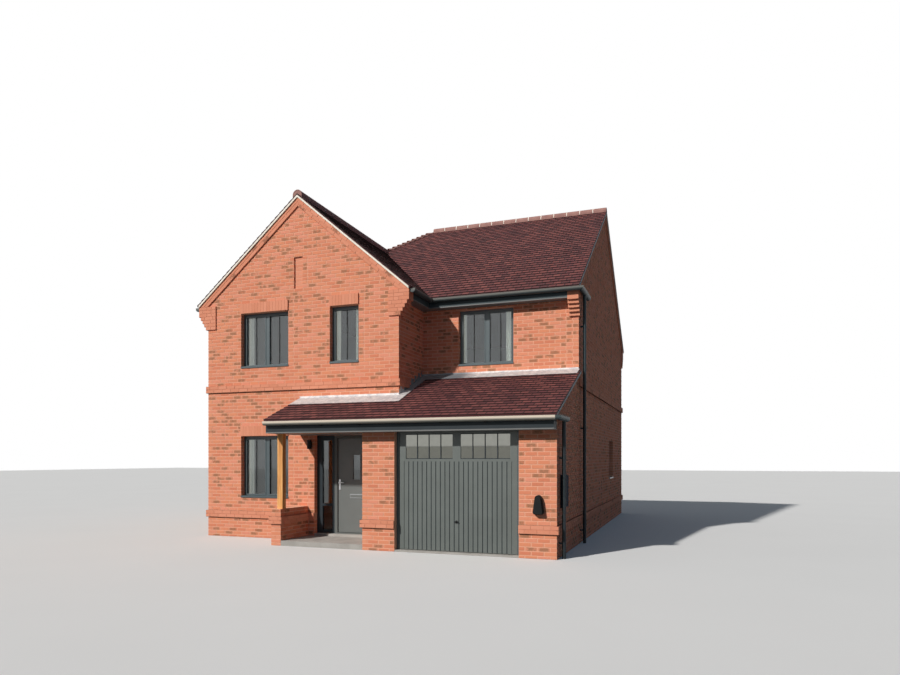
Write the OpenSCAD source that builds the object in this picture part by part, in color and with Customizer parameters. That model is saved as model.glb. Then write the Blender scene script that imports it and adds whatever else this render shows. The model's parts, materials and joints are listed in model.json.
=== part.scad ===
// Detached two-storey brick house with a gabled bay, a recessed first floor
// over a projecting garage, and a lean-to roof over the garage and porch.
// Millimetres. X runs along the front, -Y faces the street, Z is up.
// The origin is on the ground, in the middle of the plan.

/* [Plan] */
// Width of the house across the front
house_w = 8110; // [7900:10:8400]
// Depth of the main body, from the recessed wall to the rear wall
body_d = 8420; // [7900:10:9000]
// Width of the gabled bay
gable_w = 4705; // [4600:5:4800]
// How far the gabled bay stands in front of the recessed wall
gable_step = 1300; // [1100:10:1500]
// How far the garage front stands in front of the gabled bay
garage_step = 1000; // [900:10:1100]
// Thickness of an outer wall
wall_t = 300; // [280:5:320]
// Depth of the garage floor behind the garage front
garage_d = 5000; // [4000:50:5500]

/* [Brick courses] */
// Height of one course with its joint
course = 75; // [74:0.5:76]
// Height of the first whole course line above the ground
course_base = 50; // [40:1:60]
// Width of one brick
brick_l = 215; // [210:1:220]
// How far bands, heads and kneelers stand proud of the wall
proud = 28; // [20:1:32]
// Course line under the plinth band
plinth_n = 5; // [4:1:6]
// Course line under the storey band
storey_n = 42; // [41:1:43]
// Courses in each band
band_courses = 2; // [1:1:3]
// Course line of the kneelers' underside
kneeler_n = 61; // [60:1:62]
// Courses that step out in a kneeler
kneeler_steps = 5; // [4:1:6]
// Courses in a kneeler's face, up to the raking band
kneeler_courses = 7; // [7:1:7]

/* [Floors] */
// Ground floor level above the ground
floor_z = 150; // [100:5:200]
// Garage floor level above the ground
garage_floor_z = 30; // [30:5:60]
// Porch floor level above the ground
porch_z = 100; // [60:5:130]
// Clear height of the ground floor rooms
room_h = 2400; // [2350:10:2450]
// Thickness of the first floor
first_floor_t = 250; // [200:10:300]

/* [Roof] */
// Pitch of the bay's gable roof and of the left hip, in degrees
gable_pitch = 40; // [38:0.5:42]
// Pitch of the main roof's front and rear slopes, in degrees
main_pitch = 34; // [32:0.5:36]
// Pitch of the lean-to roof, in degrees
lean_pitch = 22; // [21:0.5:23]
// Height of the tile edge at the main eaves
eaves_tile_z = 5185; // [5160:5:5210]
// Height of the tile edge at the lean-to eaves
lean_tile_z = 2487; // [2470:1:2500]
// Upright thickness of a roof slope
roof_t = 120; // [100:5:140]
// How far the tile edge stands out from the wall at the main eaves
eaves_out = 270; // [255:5:290]
// How far the lean-to's tile edge stands out from the garage front
lean_out = 280; // [260:5:300]
// How far the tiles pass a gable wall at the verge
verge_out = 50; // [40:5:60]
// Thickness of the tiles where they pass the eaves and the verge
lip_t = 25; // [18:1:30]
// Thickness of the pale strip under the tiles at a verge
undercloak_t = 30; // [20:1:40]
// Height of the raking brick band under a verge, square to the slope
raking_h = 150; // [140:5:160]
// How far the porch roof's tiles pass the porch post on the left
lean_left_out = 75; // [60:5:90]
// Length of one ridge tile
ridge_tile_l = 335; // [300:5:450]
// Outer radius of a half-round ridge tile
ridge_r = 110; // [100:5:125]
// Height of the ridge tiles' top above the meeting line of the slopes
ridge_rise = 86; // [80:1:95]
// Thickness of a ridge tile
ridge_tile_t = 16; // [12:1:25]
// Joint between two ridge tiles
ridge_joint = 8; // [5:1:12]
// How far the lead apron reaches down the lean-to's tiles, in plan
apron_w = 400; // [200:10:450]
// How far the lead above the garage reaches down the tiles, in plan
rear_apron_w = 300; // [60:10:350]
// How far the lead beside the bay's return wall lies on the tiles
side_lead_w = 180; // [100:10:220]
// How far the lead stands up the wall above the tiles
upstand_h = 56; // [50:2:80]
// How far the stepped lead stands up the bay's return wall
step_lead_h = 95; // [60:5:120]
// Thickness of the lead with its fold
lead_t = 5; // [3:0.5:6]

/* [Eaves and gutters] */
// Height of the main eaves soffit
soffit_z = 4960; // [4940:5:4980]
// Distance from the wall to the outer face of a fascia
fascia_out = 235; // [225:5:240]
// Thickness of a fascia board
fascia_t = 22; // [18:1:25]
// Thickness of a soffit board
soffit_t = 22; // [16:1:25]
// Outer radius of a gutter's round underside
gutter_r = 56; // [50:1:60]
// Height of a gutter's upright sides above its round underside
gutter_side = 25; // [20:1:35]
// Thickness of the gutter's wall
gutter_t = 3; // [2:0.5:4]
// Radius of the bead along a gutter's rim
bead_r = 5; // [4:0.5:7]
// Rim of a gutter below its tile edge
gutter_drop = 33; // [31:1:40]
// Gap between a gutter and the board behind it
gutter_back = 8; // [7:1:12]
// Spacing of gutter brackets
bracket_gap = 800; // [600:50:1000]
// Width of a gutter bracket
bracket_w = 25; // [20:1:40]
// Outer radius of a downpipe
pipe_r = 34; // [30:1:38]
// Distance of the side downpipes behind the wall face in front of them
pipe_in = 180; // [160:10:200]
// Spacing of a downpipe's clips
clip_gap = 1800; // [1500:100:2000]
// How far the main gutter returns along the side wall
main_return = 680; // [600:10:900]
// How far the lean-to gutter returns along the side wall
lean_return = 460; // [400:10:520]

/* [Windows] */
// Width of a two-light window
window_w = 1220; // [1150:10:1260]
// Width of the single-light window
narrow_w = 680; // [640:10:720]
// Width of the side window
side_w = 910; // [850:10:1000]
// Course line of the ground floor sills
ground_sill_n = 11; // [10:1:12]
// Course line of the ground floor heads
ground_head_n = 29; // [29:1:29]
// Course line of the first floor sills
upper_sill_n = 49; // [48:1:50]
// Course line of the first floor heads
upper_head_n = 65; // [64:1:65]
// Course line of the side window's sill
side_sill_n = 15; // [14:1:16]
// Middle of the wide windows, from the house's left corner
wide_window_x = 1495; // [1400:5:1600]
// Middle of the single-light window, from the house's left corner
narrow_window_x = 3460; // [3400:5:3550]
// Middle of the recessed wall's window, from the bay's right face
recess_window_x = 1435; // [1300:5:1600]
// Middle of the side window, from the rear wall's face
side_window_y = 2835; // [2500:5:3200]
// Set-back of the window frames from the wall face
reveal = 110; // [90:5:140]
// Depth of a window frame from front to back
frame_d = 70; // [60:1:80]
// Face width of a window frame
frame_w = 60; // [50:1:75]
// Face width of the mullion between two lights
mullion_w = 90; // [70:1:120]
// Thickness of the glass units
glass_t = 24; // [16:1:28]
// Height of a window's sill section
sill_h = 40; // [30:1:60]
// How far a sill stands out from the wall face
sill_out = 20; // [15:1:30]
// Height of a soldier-course head
head_h = 225; // [215:5:235]
// Width of the blind slot in the gable
slot_w = 215; // [200:5:260]
// Course line under the blind slot
slot_n = 71; // [70:1:72]
// Courses in the blind slot's height
slot_courses = 9; // [8:1:10]
// Depth of the blind slot
slot_deep = 35; // [20:1:40]

/* [Front door] */
// Width of the wall between the doorway and the garage
door_side_w = 221; // [210:1:240]
// Width of the door leaf
leaf_w = 869; // [850:1:890]
// Thickness of the door leaf
leaf_t = 44; // [40:1:54]
// Clearance around the door leaf
leaf_gap = 7; // [7:0.5:8]
// Radius of a door hinge's barrel
hinge_r = 8; // [7:0.5:9]
// Radius of a door hinge's pin
hinge_pin_r = 4; // [3:0.5:5]
// Running clearance of a hinge's bore on its pin
hinge_clear = 0.05; // [0.03:0.01:0.08]
// Height of a hinge's barrel
hinge_h = 90; // [70:5:110]
// Face width of the door frame
door_frame_w = 62; // [55:1:64]
// Height of the threshold
threshold_h = 25; // [15:1:30]
// Width of the sidelight's glass
sidelight_w = 230; // [200:1:250]
// Rail between the sidelight's glass and the frame on its left
sidelight_rail = 73; // [60:1:90]
// Post between the sidelight's glass and the door leaf
sidelight_post = 126; // [110:1:140]
// Height of the sidelight's cross rail above the ground
cross_rail_z = 730; // [700:5:800]
// Depth of the sidelight's rails at the foot, middle and head
cross_rail_h = 50; // [40:1:60]
// Width of the glass in the door leaf
leaf_glass_w = 166; // [140:2:200]
// Height of the glass in the door leaf
leaf_glass_h = 514; // [450:2:560]
// Underside of the glass in the door leaf, above the ground
leaf_glass_z = 1292; // [1250:2:1350]
// Width of the bead round the door's glass
bead_w = 26; // [20:1:34]
// How far that bead stands out from the leaf
bead_out = 8; // [5:1:12]
// Height of the door handle's lever above the ground
lever_z = 1225; // [1150:5:1250]
// Length of the lever
lever_l = 115; // [100:5:130]
// Underside of the letter plate, above the ground
letter_z = 905; // [880:5:950]
// Width of the letter plate
letter_w = 302; // [280:2:320]
// Height of the letter plate
letter_h = 80; // [60:2:90]

/* [Garage door] */
// Width of each brick pier beside the garage door
pier_w = 665; // [655:5:675]
// Depth of the garage piers from front to back
pier_d = 300; // [280:5:330]
// Clear height of the garage doorway above the ground
garage_head_z = 2300; // [2290:5:2320]
// Set-back of the garage door's frame from the wall face
garage_reveal = 100; // [90:1:120]
// Face width of the garage door's frame
garage_frame_w = 50; // [45:1:55]
// Depth of the garage door's frame
garage_frame_d = 50; // [45:1:60]
// Clearance between the panel and its frame
panel_gap = 5; // [5:0.5:8]
// Thickness of the garage door's panel
panel_t = 40; // [30:1:45]
// Length of a lifting arm between its pins
arm_l = 700; // [650:5:720]
// Height of the lifting arms' fixed pins
arm_z = 2050; // [2030:5:2060]
// Width of a lifting arm
arm_w = 40; // [30:1:50]
// Thickness of a lifting arm
arm_t = 10; // [8:1:12]
// Radius of the arms' pins
arm_pin_r = 8; // [6:0.5:10]
// Running clearance of the arms' bores on their pins
arm_clear = 0.05; // [0.03:0.01:0.08]
// Pitch of the panel's upright ribs
rib_pitch = 90; // [80:1:100]
// Width of the grooves between the ribs
groove_w = 16; // [12:1:20]
// Depth of the grooves between the ribs
groove_deep = 10; // [6:1:12]
// Width of the stile beside a glazed panel
side_stile = 128; // [115:1:140]
// Underside of the glazed panels
pane_z = 1722; // [1700:2:1750]
// Height of the glazed panels
pane_h = 463; // [440:1:470]
// Width of the stile between the glazed panels
centre_stile = 154; // [140:2:170]
// Height of the garage door's handle above the ground
garage_handle_z = 579; // [550:5:650]

/* [Porch] */
// Distance from the low porch wall's left face to the doorway
porch_side = 376; // [340:2:400]
// Course line of the low porch wall's top
porch_wall_n = 9; // [8:1:11]
// Width of the square porch post
post_w = 120; // [100:5:140]
// Distance of the post behind the garage front
post_in = 76; // [60:2:100]

/* [Fittings] */
// Diameter of the wall lamp
lamp_w = 92; // [80:2:120]
// Height of the wall lamp
lamp_h = 190; // [170:5:220]
// Underside of the wall lamp, above the ground
lamp_z = 1935; // [1850:5:1960]
// Distance of the wall lamp's middle from the doorway
lamp_side = 87; // [75:1:110]
// Width of the vehicle charging box at its foot
charger_w = 190; // [180:2:220]
// Width of the vehicle charging box at its rounded top
charger_top_w = 124; // [110:2:140]
// Height of the vehicle charging box
charger_h = 334; // [300:2:340]
// Depth of the vehicle charging box
charger_d = 120; // [90:5:140]
// Foot of the vehicle charging box, above the ground
charger_z = 768; // [700:5:850]
// Distance of the charging box's middle from the house's corner
charger_in = 309; // [300:1:340]
// Width of the meter box
meter_w = 504; // [450:2:560]
// Height of the meter box
meter_h = 590; // [560:2:700]
// Depth of the meter box
meter_d = 60; // [40:5:80]
// Underside of the meter box, above the ground
meter_z = 865; // [750:5:900]
// Distance of the meter box behind the garage front
meter_in = 300; // [290:5:400]

/* [Hidden] */

BRICK = "#c98a66";
BAND = "#b8694a";
TILE = "#6e4444";
RIDGE = "#9c7069";
SLATE = "#3f4650";
DOOR = "#8a8d90";
LEAD = "#a5a7a8";
CONCRETE = "#b5b0a8";
OAK = "#c08a55";
GLAZING = "#aebcc4";
BLACK = "#26282b";
CREAM = "#e9e2d5";
SOFFIT = "#8f8f8c";
STEEL = "#9aa0a5";

$fn = 48;
reach = 20000;

function course_z(n) = course_base + course * n;

x_left = -house_w / 2;
x_right = house_w / 2;
y_front = -(body_d + gable_step + garage_step) / 2;
y_gable = y_front + garage_step;
y_recess = y_gable + gable_step;
y_rear = y_recess + body_d;
x_gable = x_left + gable_w;
x_apex = x_left + gable_w / 2;
x_garage = x_gable - wall_t;
y_ridge = (y_recess + y_rear) / 2;
eps = 1;

upper_z = floor_z + room_h;
upper_floor_z = upper_z + first_floor_t;
ground_sill = course_z(ground_sill_n);
ground_head = course_z(ground_head_n);
upper_sill = course_z(upper_sill_n);
upper_head = course_z(upper_head_n);
side_sill = course_z(side_sill_n);

ridge_z = eaves_tile_z + (body_d / 2 + eaves_out) * tan(main_pitch);
gable_ridge_z = eaves_tile_z + (gable_w / 2 + eaves_out) * tan(gable_pitch);
x_hip = x_left - eaves_out + (ridge_z - eaves_tile_z) / tan(gable_pitch);
y_meet = y_recess - eaves_out + (gable_ridge_z - eaves_tile_z) / tan(main_pitch);
lean_z = ground_head;

gutter_z = eaves_tile_z - gutter_drop;
lean_gutter_z = lean_tile_z - gutter_drop;
gutter_c = gutter_back + gutter_r;
pipe_out = proud + gutter_c;
seat = 0.3;

wide_x = x_left + wide_window_x;
narrow_x = x_left + narrow_window_x;
recess_x = x_gable + recess_window_x;
side_y = y_rear - side_window_y;

door_x1 = x_garage - door_side_w;
door_x0 = door_x1 - 2 * door_frame_w - 2 * leaf_gap - leaf_w - sidelight_post
    - sidelight_w - sidelight_rail;
sidelight_x0 = door_x0 + door_frame_w + sidelight_rail;
sidelight_x1 = sidelight_x0 + sidelight_w;
leaf_x1 = door_x1 - door_frame_w - leaf_gap;
leaf_x0 = leaf_x1 - leaf_w;
leaf_z0 = floor_z + threshold_h + leaf_gap;
leaf_z1 = ground_head - door_frame_w - leaf_gap;
leaf_y = y_gable + reveal + frame_d - leaf_t;
leaf_x = (leaf_x0 + leaf_x1) / 2;
hinge_x = leaf_x1 + leaf_gap / 2;
hinge_y = leaf_y + leaf_t + hinge_r + 1;
hinge_z = [leaf_z0 + 200, (leaf_z0 + leaf_z1) / 2, leaf_z1 - 200];

garage_x0 = x_garage + pier_w;
garage_x1 = x_right - pier_w;
panel_x0 = garage_x0 + garage_frame_w + panel_gap;
panel_x1 = garage_x1 - garage_frame_w - panel_gap;
panel_y = y_front + garage_reveal + 12;
panel_z0 = garage_floor_z + 10;
panel_z1 = garage_head_z - 35;
pane_w = (panel_x1 - panel_x0 - centre_stile) / 2 - side_stile;
arm_y = y_front + 2 * garage_reveal;
pin_z = arm_z - arm_l;
centre_x = (garage_x0 + garage_x1) / 2;

porch_x0 = door_x0 - porch_side;
porch_x1 = porch_x0 + brick_l;
post_x0 = porch_x1 - post_w - 8;
post_y0 = y_front + post_in;
lean_x0 = post_x0 - lean_left_out;
cheek_x0 = lean_x0 + 20;

// Everything under the plane that rises at a pitch from an eaves line at
// height z. turn says which way it rises: 0 is +Y, -90 is +X, 90 is -X and
// 180 is -Y.
module below(edge, z, turn, pitch)
    translate([edge.x, edge.y, z]) rotate([0, 0, turn]) rotate([pitch, 0, 0])
        translate([-reach, -reach, -2 * reach]) cube(2 * reach);

module under_left(drop = roof_t)
    below([x_left - eaves_out, 0], eaves_tile_z - drop, -90, gable_pitch);
module under_bay(drop = roof_t)
    below([x_gable + eaves_out, 0], eaves_tile_z - drop, 90, gable_pitch);
module under_front(drop = roof_t)
    below([0, y_recess - eaves_out], eaves_tile_z - drop, 0, main_pitch);
module under_rear(drop = roof_t)
    below([0, y_rear + eaves_out], eaves_tile_z - drop, 180, main_pitch);
module under_lean(drop = roof_t)
    below([0, y_front - lean_out], lean_tile_z - drop, 0, lean_pitch);

module block(x0, x1, y0, y1, z0, z1)
    translate([x0, y0, z0]) cube([x1 - x0, y1 - y0, z1 - z0]);

// A roof slope: the prism over its plan, between two parallel planes. It is
// full depth over core, which is [x0, x1, y0, y1], and tile-thick outside it.
// Children are the half-spaces under its top, its tiles and its boarding.
module slope(plan, core) difference() {
    intersection() {
        linear_extrude(reach / 2) polygon(plan);
        children(0);
    }
    children(2);
    difference() {
        children(1);
        block(core[0], core[1], core[2], core[3], 0, reach / 2);
    }
}

module ground_floor() color(CONCRETE) {
    block(x_left + wall_t, x_gable, y_gable + wall_t, y_front + garage_d, 0, floor_z);
    block(x_left + wall_t, x_right - wall_t, y_front + garage_d,
        y_rear - wall_t, 0, floor_z);
    block(garage_x0, garage_x1, y_front, y_front + pier_d, 0, garage_floor_z);
    block(x_gable, x_right - wall_t, y_front + pier_d, y_front + garage_d, 0,
        garage_floor_z);
    block(porch_x1, x_garage, y_front, y_gable, 0, porch_z);
    block(door_x0, door_x1, y_gable, y_gable + wall_t, 0, floor_z);
}

module first_floor() color(CONCRETE) {
    block(x_left + wall_t, x_gable, y_gable + wall_t, y_recess + eps, upper_z,
        upper_floor_z);
    block(x_left + wall_t, x_right - wall_t, y_recess, y_rear - wall_t, upper_z,
        upper_floor_z);
}

// A window's hole through a wall that faces -Y, with its middle at x.
module hole(x, w, y, sill, head)
    block(x - w / 2, x + w / 2, y - wall_t, y + 2 * wall_t, sill, head);

module front_wall_left() color(BRICK) difference() {
    block(x_left, door_x0, y_gable, y_gable + wall_t, 0, upper_z);
    hole(wide_x, window_w, y_gable, ground_sill, ground_head);
}

module front_wall_right() color(BRICK)
    block(door_x1, x_garage, y_gable, y_gable + wall_t, 0, upper_z);

module front_wall_over_door() color(BRICK)
    block(door_x0, door_x1, y_gable, y_gable + wall_t, ground_head, upper_z);

module gable_front_wall() color(BRICK) difference() {
    intersection() {
        block(x_left, x_gable, y_gable, y_gable + wall_t, upper_z, reach / 2);
        under_left();
        under_bay();
    }
    hole(wide_x, window_w, y_gable, upper_sill, upper_head);
    hole(narrow_x, narrow_w, y_gable, upper_sill, upper_head);
    block(x_apex - slot_w / 2, x_apex + slot_w / 2, y_gable - wall_t,
        y_gable + slot_deep, course_z(slot_n), course_z(slot_n + slot_courses));
}

module gable_return_wall() color(BRICK) intersection() {
    block(x_garage, x_gable, y_gable + wall_t, y_recess + wall_t, upper_floor_z,
        reach / 2);
    under_bay();
}

module recess_wall() color(BRICK) difference() {
    intersection() {
        block(x_gable, x_right - wall_t, y_recess, y_recess + wall_t,
            upper_floor_z, reach / 2);
        under_front();
    }
    hole(recess_x, window_w, y_recess, upper_sill, upper_head);
}

module garage_piers() color(BRICK) intersection() {
    union() {
        block(x_garage, garage_x0, y_front, y_front + pier_d, 0, reach / 2);
        block(garage_x1, x_right, y_front, y_front + pier_d, 0, reach / 2);
    }
    under_lean();
}

module garage_lintel() color(BRICK) intersection() {
    block(garage_x0, garage_x1, y_front, y_front + pier_d, garage_head_z, reach / 2);
    under_lean();
}

module garage_side_walls() color(BRICK) {
    intersection() {
        block(x_garage, x_gable, y_front + pier_d, y_gable, 0, reach / 2);
        under_lean();
    }
    block(x_garage, x_gable, y_gable, y_gable + wall_t, 0, upper_z);
    intersection() {
        block(x_right - wall_t, x_right, y_front + pier_d, y_recess, 0, reach / 2);
        under_lean();
    }
}

// The right wall is one solid up to the storey band and one from there up.
module right_gable_wall() color(BRICK) intersection() {
    block(x_right - wall_t, x_right, y_recess, y_rear, course_z(storey_n), reach / 2);
    under_front();
    under_rear();
}

module right_side_wall() color(BRICK) difference() {
    block(x_right - wall_t, x_right, y_recess, y_rear, 0, course_z(storey_n));
    block(x_right - 2 * wall_t, x_right + wall_t, side_y - side_w / 2,
        side_y + side_w / 2, side_sill, ground_head);
}

module left_wall() color(BRICK) intersection() {
    block(x_left, x_left + wall_t, y_gable + wall_t, y_rear - wall_t, 0, reach / 2);
    under_left();
    under_rear();
}

// The rear wall repeats the front's windows.
rear_windows = [wide_x, recess_x];
module rear_wall() color(BRICK) difference() {
    intersection() {
        block(x_left, x_right - wall_t, y_rear - wall_t, y_rear, 0, reach / 2);
        under_rear();
        under_left();
    }
    for (x = rear_windows) {
        hole(x, window_w, y_rear, ground_sill, ground_head);
        hole(x, window_w, y_rear, upper_sill, upper_head);
    }
}

module porch_wall() color(BRICK)
    block(porch_x0, porch_x1, y_front, y_gable, 0, course_z(porch_wall_n));

module porch_post() color(OAK)
    block(post_x0, post_x0 + post_w, post_y0, post_y0 + post_w,
        course_z(porch_wall_n), lean_z);

module porch_beam() color(OAK) intersection() {
    block(cheek_x0 + fascia_t, x_garage, post_y0, post_y0 + post_w, lean_z, reach / 2);
    under_lean();
}

module roof_left_slope() color(TILE)
    slope([
        [x_left - eaves_out, y_gable - verge_out],
        [x_apex, y_gable - verge_out],
        [x_apex, y_meet],
        [x_hip, y_ridge],
        [x_left - eaves_out, y_rear + eaves_out]
    ], [x_left - fascia_out, x_right, y_gable, y_rear + fascia_out]) {
        under_left(0);
        under_left(lip_t);
        under_left();
    }

module roof_front_slope() color(TILE)
    slope([
        [x_gable + eaves_out, y_recess - eaves_out],
        [x_right + verge_out, y_recess - eaves_out],
        [x_right + verge_out, y_ridge],
        [x_hip, y_ridge],
        [x_apex, y_meet]
    ], [x_left, x_right, y_recess - fascia_out, y_rear]) {
        under_front(0);
        under_front(lip_t);
        under_front();
    }

module roof_rear_slope() color(TILE)
    slope([
        [x_right + verge_out, y_ridge],
        [x_right + verge_out, y_rear + eaves_out],
        [x_left - eaves_out, y_rear + eaves_out],
        [x_hip, y_ridge]
    ], [x_left - fascia_out, x_right, y_recess, y_rear + fascia_out]) {
        under_rear(0);
        under_rear(lip_t);
        under_rear();
    }

module roof_gable_slope() color(TILE)
    slope([
        [x_apex, y_gable - verge_out],
        [x_gable + eaves_out, y_gable - verge_out],
        [x_gable + eaves_out, y_recess - eaves_out],
        [x_apex, y_meet]
    ], [x_left, x_gable + fascia_out, y_gable, y_rear]) {
        under_bay(0);
        under_bay(lip_t);
        under_bay();
    }

module lean_to_roof() color(TILE)
    slope([
        [lean_x0, y_front - lean_out],
        [x_right + verge_out, y_front - lean_out],
        [x_right + verge_out, y_recess],
        [x_gable, y_recess],
        [x_gable, y_gable],
        [lean_x0, y_gable]
    ], [cheek_x0, x_right, y_front - fascia_out, y_recess]) {
        under_lean(0);
        under_lean(lip_t);
        under_lean();
    }

// Everything under the house's four slopes together.
module under_roof(drop) intersection() {
    under_left(drop);
    union() {
        under_bay(drop);
        intersection() {
            under_front(drop);
            under_rear(drop);
        }
    }
}

// A row of half-round ridge tiles bedded on the slopes, its two ends filled. It
// starts at a, where the slopes meet, and runs along +X turned by turn.
module ridge_row(a, turn, length) difference() {
    n = round(length / ridge_tile_l);
    step = length / n;
    translate([a.x, a.y, a.z + ridge_rise - ridge_r]) rotate([0, 0, turn]) {
        for (i = [0:n - 1])
            translate([i * step + ridge_joint / 2, 0, 0]) rotate([90, 0, 90])
                linear_extrude(step - ridge_joint) difference() {
                    ridge_outline(ridge_r);
                    ridge_outline(ridge_r - ridge_tile_t);
                }
        for (x = [ridge_joint, length - 2 * ridge_joint - ridge_tile_t])
            translate([x, 0, 0]) rotate([90, 0, 90])
                linear_extrude(ridge_joint + ridge_tile_t)
                    ridge_outline(ridge_r - eps);
    }
    under_roof(-seat);
}

module ridge_outline(r) {
    circle(r);
    translate([-r, -2 * ridge_r]) square([2 * r, 2 * ridge_r]);
}

module ridge_tiles() color(RIDGE) {
    ridge_row([x_hip, y_ridge, ridge_z], 0, x_right + verge_out - x_hip);
    ridge_row([x_apex, y_gable - verge_out, gable_ridge_z], 90,
        y_meet - y_gable + verge_out);
}

// What lies between two depths under the bay's two slopes.
module bay_layer(top, bottom) difference() {
    intersection() {
        under_left(top);
        under_bay(top);
    }
    intersection() {
        under_left(bottom);
        under_bay(bottom);
    }
}

// What lies between two depths under the main roof's two slopes.
module main_layer(top, bottom) difference() {
    intersection() {
        under_front(top);
        under_rear(top);
    }
    intersection() {
        under_front(bottom);
        under_rear(bottom);
    }
}

// What lies between two depths under the lean-to's slope.
module lean_layer(top, bottom) difference() {
    under_lean(top);
    under_lean(bottom);
}

// Over a gutter that turns the corner, the strip under the verge starts this
// far behind the fascia.
strip_back = 30;
module verge_trim() color(CREAM) {
    intersection() {
        block(x_left - fascia_out, x_gable + fascia_out, y_gable - verge_out + 6,
            y_gable, soffit_z - roof_t, reach / 2);
        bay_layer(lip_t, lip_t + undercloak_t);
    }
    intersection() {
        block(x_right, x_right + verge_out - 6, y_recess - fascia_out + strip_back,
            y_rear + fascia_out, soffit_z - roof_t, reach / 2);
        main_layer(lip_t, lip_t + undercloak_t);
    }
    intersection() {
        block(x_right, x_right + verge_out - 6, y_front - fascia_out + strip_back,
            y_recess, lean_z, reach / 2);
        lean_layer(lip_t, lip_t + undercloak_t);
    }
    intersection() {
        block(lean_x0 + 6, cheek_x0, y_front - fascia_out, y_gable, lean_z, reach / 2);
        lean_layer(lip_t, lip_t + undercloak_t);
    }
}

// A band of brick that stands proud of the walls: its plan is the outline of
// the walls grown by the band's projection, less the walls themselves.
module band(n, path) {
    for (p = path)
        block(p[0], p[1], p[2], p[3], course_z(n), course_z(n + band_courses));
}

module brick_bands() color(BAND) {
    band(plinth_n, [
        [x_left - proud, porch_x0, y_gable - proud, y_gable],
        [porch_x1, door_x0, y_gable - proud, y_gable],
        [door_x1, x_garage - proud, y_gable - proud, y_gable],
        [x_garage - proud, x_garage, y_front - proud, y_gable],
        [x_left - proud, x_left, y_gable, y_rear],
        [x_left - proud, x_right + proud, y_rear, y_rear + proud],
        [x_right, x_right + proud, y_front - proud, y_rear],
        [garage_x1, x_right, y_front - proud, y_front],
        [x_garage, garage_x0, y_front - proud, y_front]
    ]);
    band(storey_n, [
        [x_left - proud, x_gable + proud, y_gable - proud, y_gable],
        [x_left - proud, x_left, y_gable, y_rear],
        [x_left - proud, x_right + proud, y_rear, y_rear + proud],
        [x_right, x_right + proud, y_recess, y_rear]
    ]);
    difference() {
        band(storey_n, [[x_gable, x_gable + proud, y_gable, y_recess]]);
        under_lean(-seat);
        lead_steps(2 * proud);
    }
    band(plinth_n, [
        [porch_x0 - proud, porch_x0, y_front - proud, y_gable - proud],
        [porch_x0, porch_x1, y_front - proud, y_front],
        [porch_x1, porch_x1 + proud, y_front - proud, y_gable - proud]
    ]);
    intersection() {
        block(x_left - fascia_out, x_gable + fascia_out, y_gable - proud, y_gable,
            kneeler_z, reach / 2);
        bay_layer(lip_t + undercloak_t,
            lip_t + undercloak_t + raking_h / cos(gable_pitch));
    }
    intersection() {
        block(x_right, x_right + proud, y_recess - fascia_out, y_rear + fascia_out,
            kneeler_z, reach / 2);
        main_layer(lip_t + undercloak_t,
            lip_t + undercloak_t + raking_h / cos(main_pitch));
    }
}

// A corbelled kneeler: the wall's face is at y = 0, its corner at x = 0, and
// the kneeler steps out towards -X and stands proud towards -Y. The raking
// band sits on its face; the part beyond the corner goes on up to the roof.
kneeler_d = brick_l - proud;
kneeler_z = course_z(kneeler_n + kneeler_courses);
module kneeler() {
    step = fascia_out / kneeler_steps;
    for (i = [0:kneeler_steps - 1]) {
        z = course_z(kneeler_n + i);
        block(-step * (i + 1), brick_l, -proud, 0, z, kneeler_z);
        block(-step * (i + 1), 0, -eps, kneeler_d, z, kneeler_z);
        block(-step * (i + 1), 0, 0, kneeler_d, z, reach / 2);
    }
}

module kneelers() color(BAND) {
    intersection() {
        union() {
            translate([x_left, y_gable, 0]) kneeler();
            translate([x_gable, y_gable, 0]) mirror([1, 0, 0]) kneeler();
        }
        under_left(lip_t + undercloak_t);
        under_bay(lip_t + undercloak_t);
        union() {
            block(-reach, reach, -reach, y_gable, 0, reach);
            intersection() {
                under_left();
                under_bay();
            }
        }
    }
    intersection() {
        union() {
            translate([x_right, y_recess, 0]) rotate([0, 0, 90]) kneeler();
            translate([x_right, y_rear, 0]) mirror([0, 1, 0]) rotate([0, 0, 90])
                kneeler();
        }
        under_front(lip_t + undercloak_t);
        under_rear(lip_t + undercloak_t);
        union() {
            block(x_right, reach, -reach, reach, 0, reach);
            intersection() {
                under_front();
                under_rear();
            }
        }
    }
}

module window_heads() color(BAND) {
    soldier(wide_x, window_w, upper_head);
    soldier(narrow_x, narrow_w, upper_head);
    soldier(wide_x, window_w, ground_head);
}

module soldier(x, w, z)
    block(x - w / 2, x + w / 2, y_gable - proud, y_gable, z, z + head_h);

// A window frame in a hole that faces -Y: y is the wall's face.
module window_frame(x, w, y, sill, head, lights) {
    light_w = (w - 2 * frame_w - (lights - 1) * mullion_w) / lights;
    difference() {
        block(x - w / 2, x + w / 2, y + reveal, y + reveal + frame_d, sill, head);
        for (i = [0:lights - 1])
            translate([x - w / 2 + frame_w + i * (light_w + mullion_w), y,
                sill + frame_w]) cube([light_w, wall_t, head - sill - 2 * frame_w]);
    }
}

module window_sill(x, w, y, sill)
    block(x - w / 2, x + w / 2, y - sill_out, y + reveal, sill, sill + sill_h);

module window_pane(x, w, y, sill, head, lights) {
    light_w = (w - 2 * frame_w - (lights - 1) * mullion_w) / lights;
    for (i = [0:lights - 1])
        translate([x - w / 2 + frame_w + i * (light_w + mullion_w),
            y + reveal + (frame_d - glass_t) / 2, sill + frame_w])
            cube([light_w, glass_t, head - sill - 2 * frame_w]);
}

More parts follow.
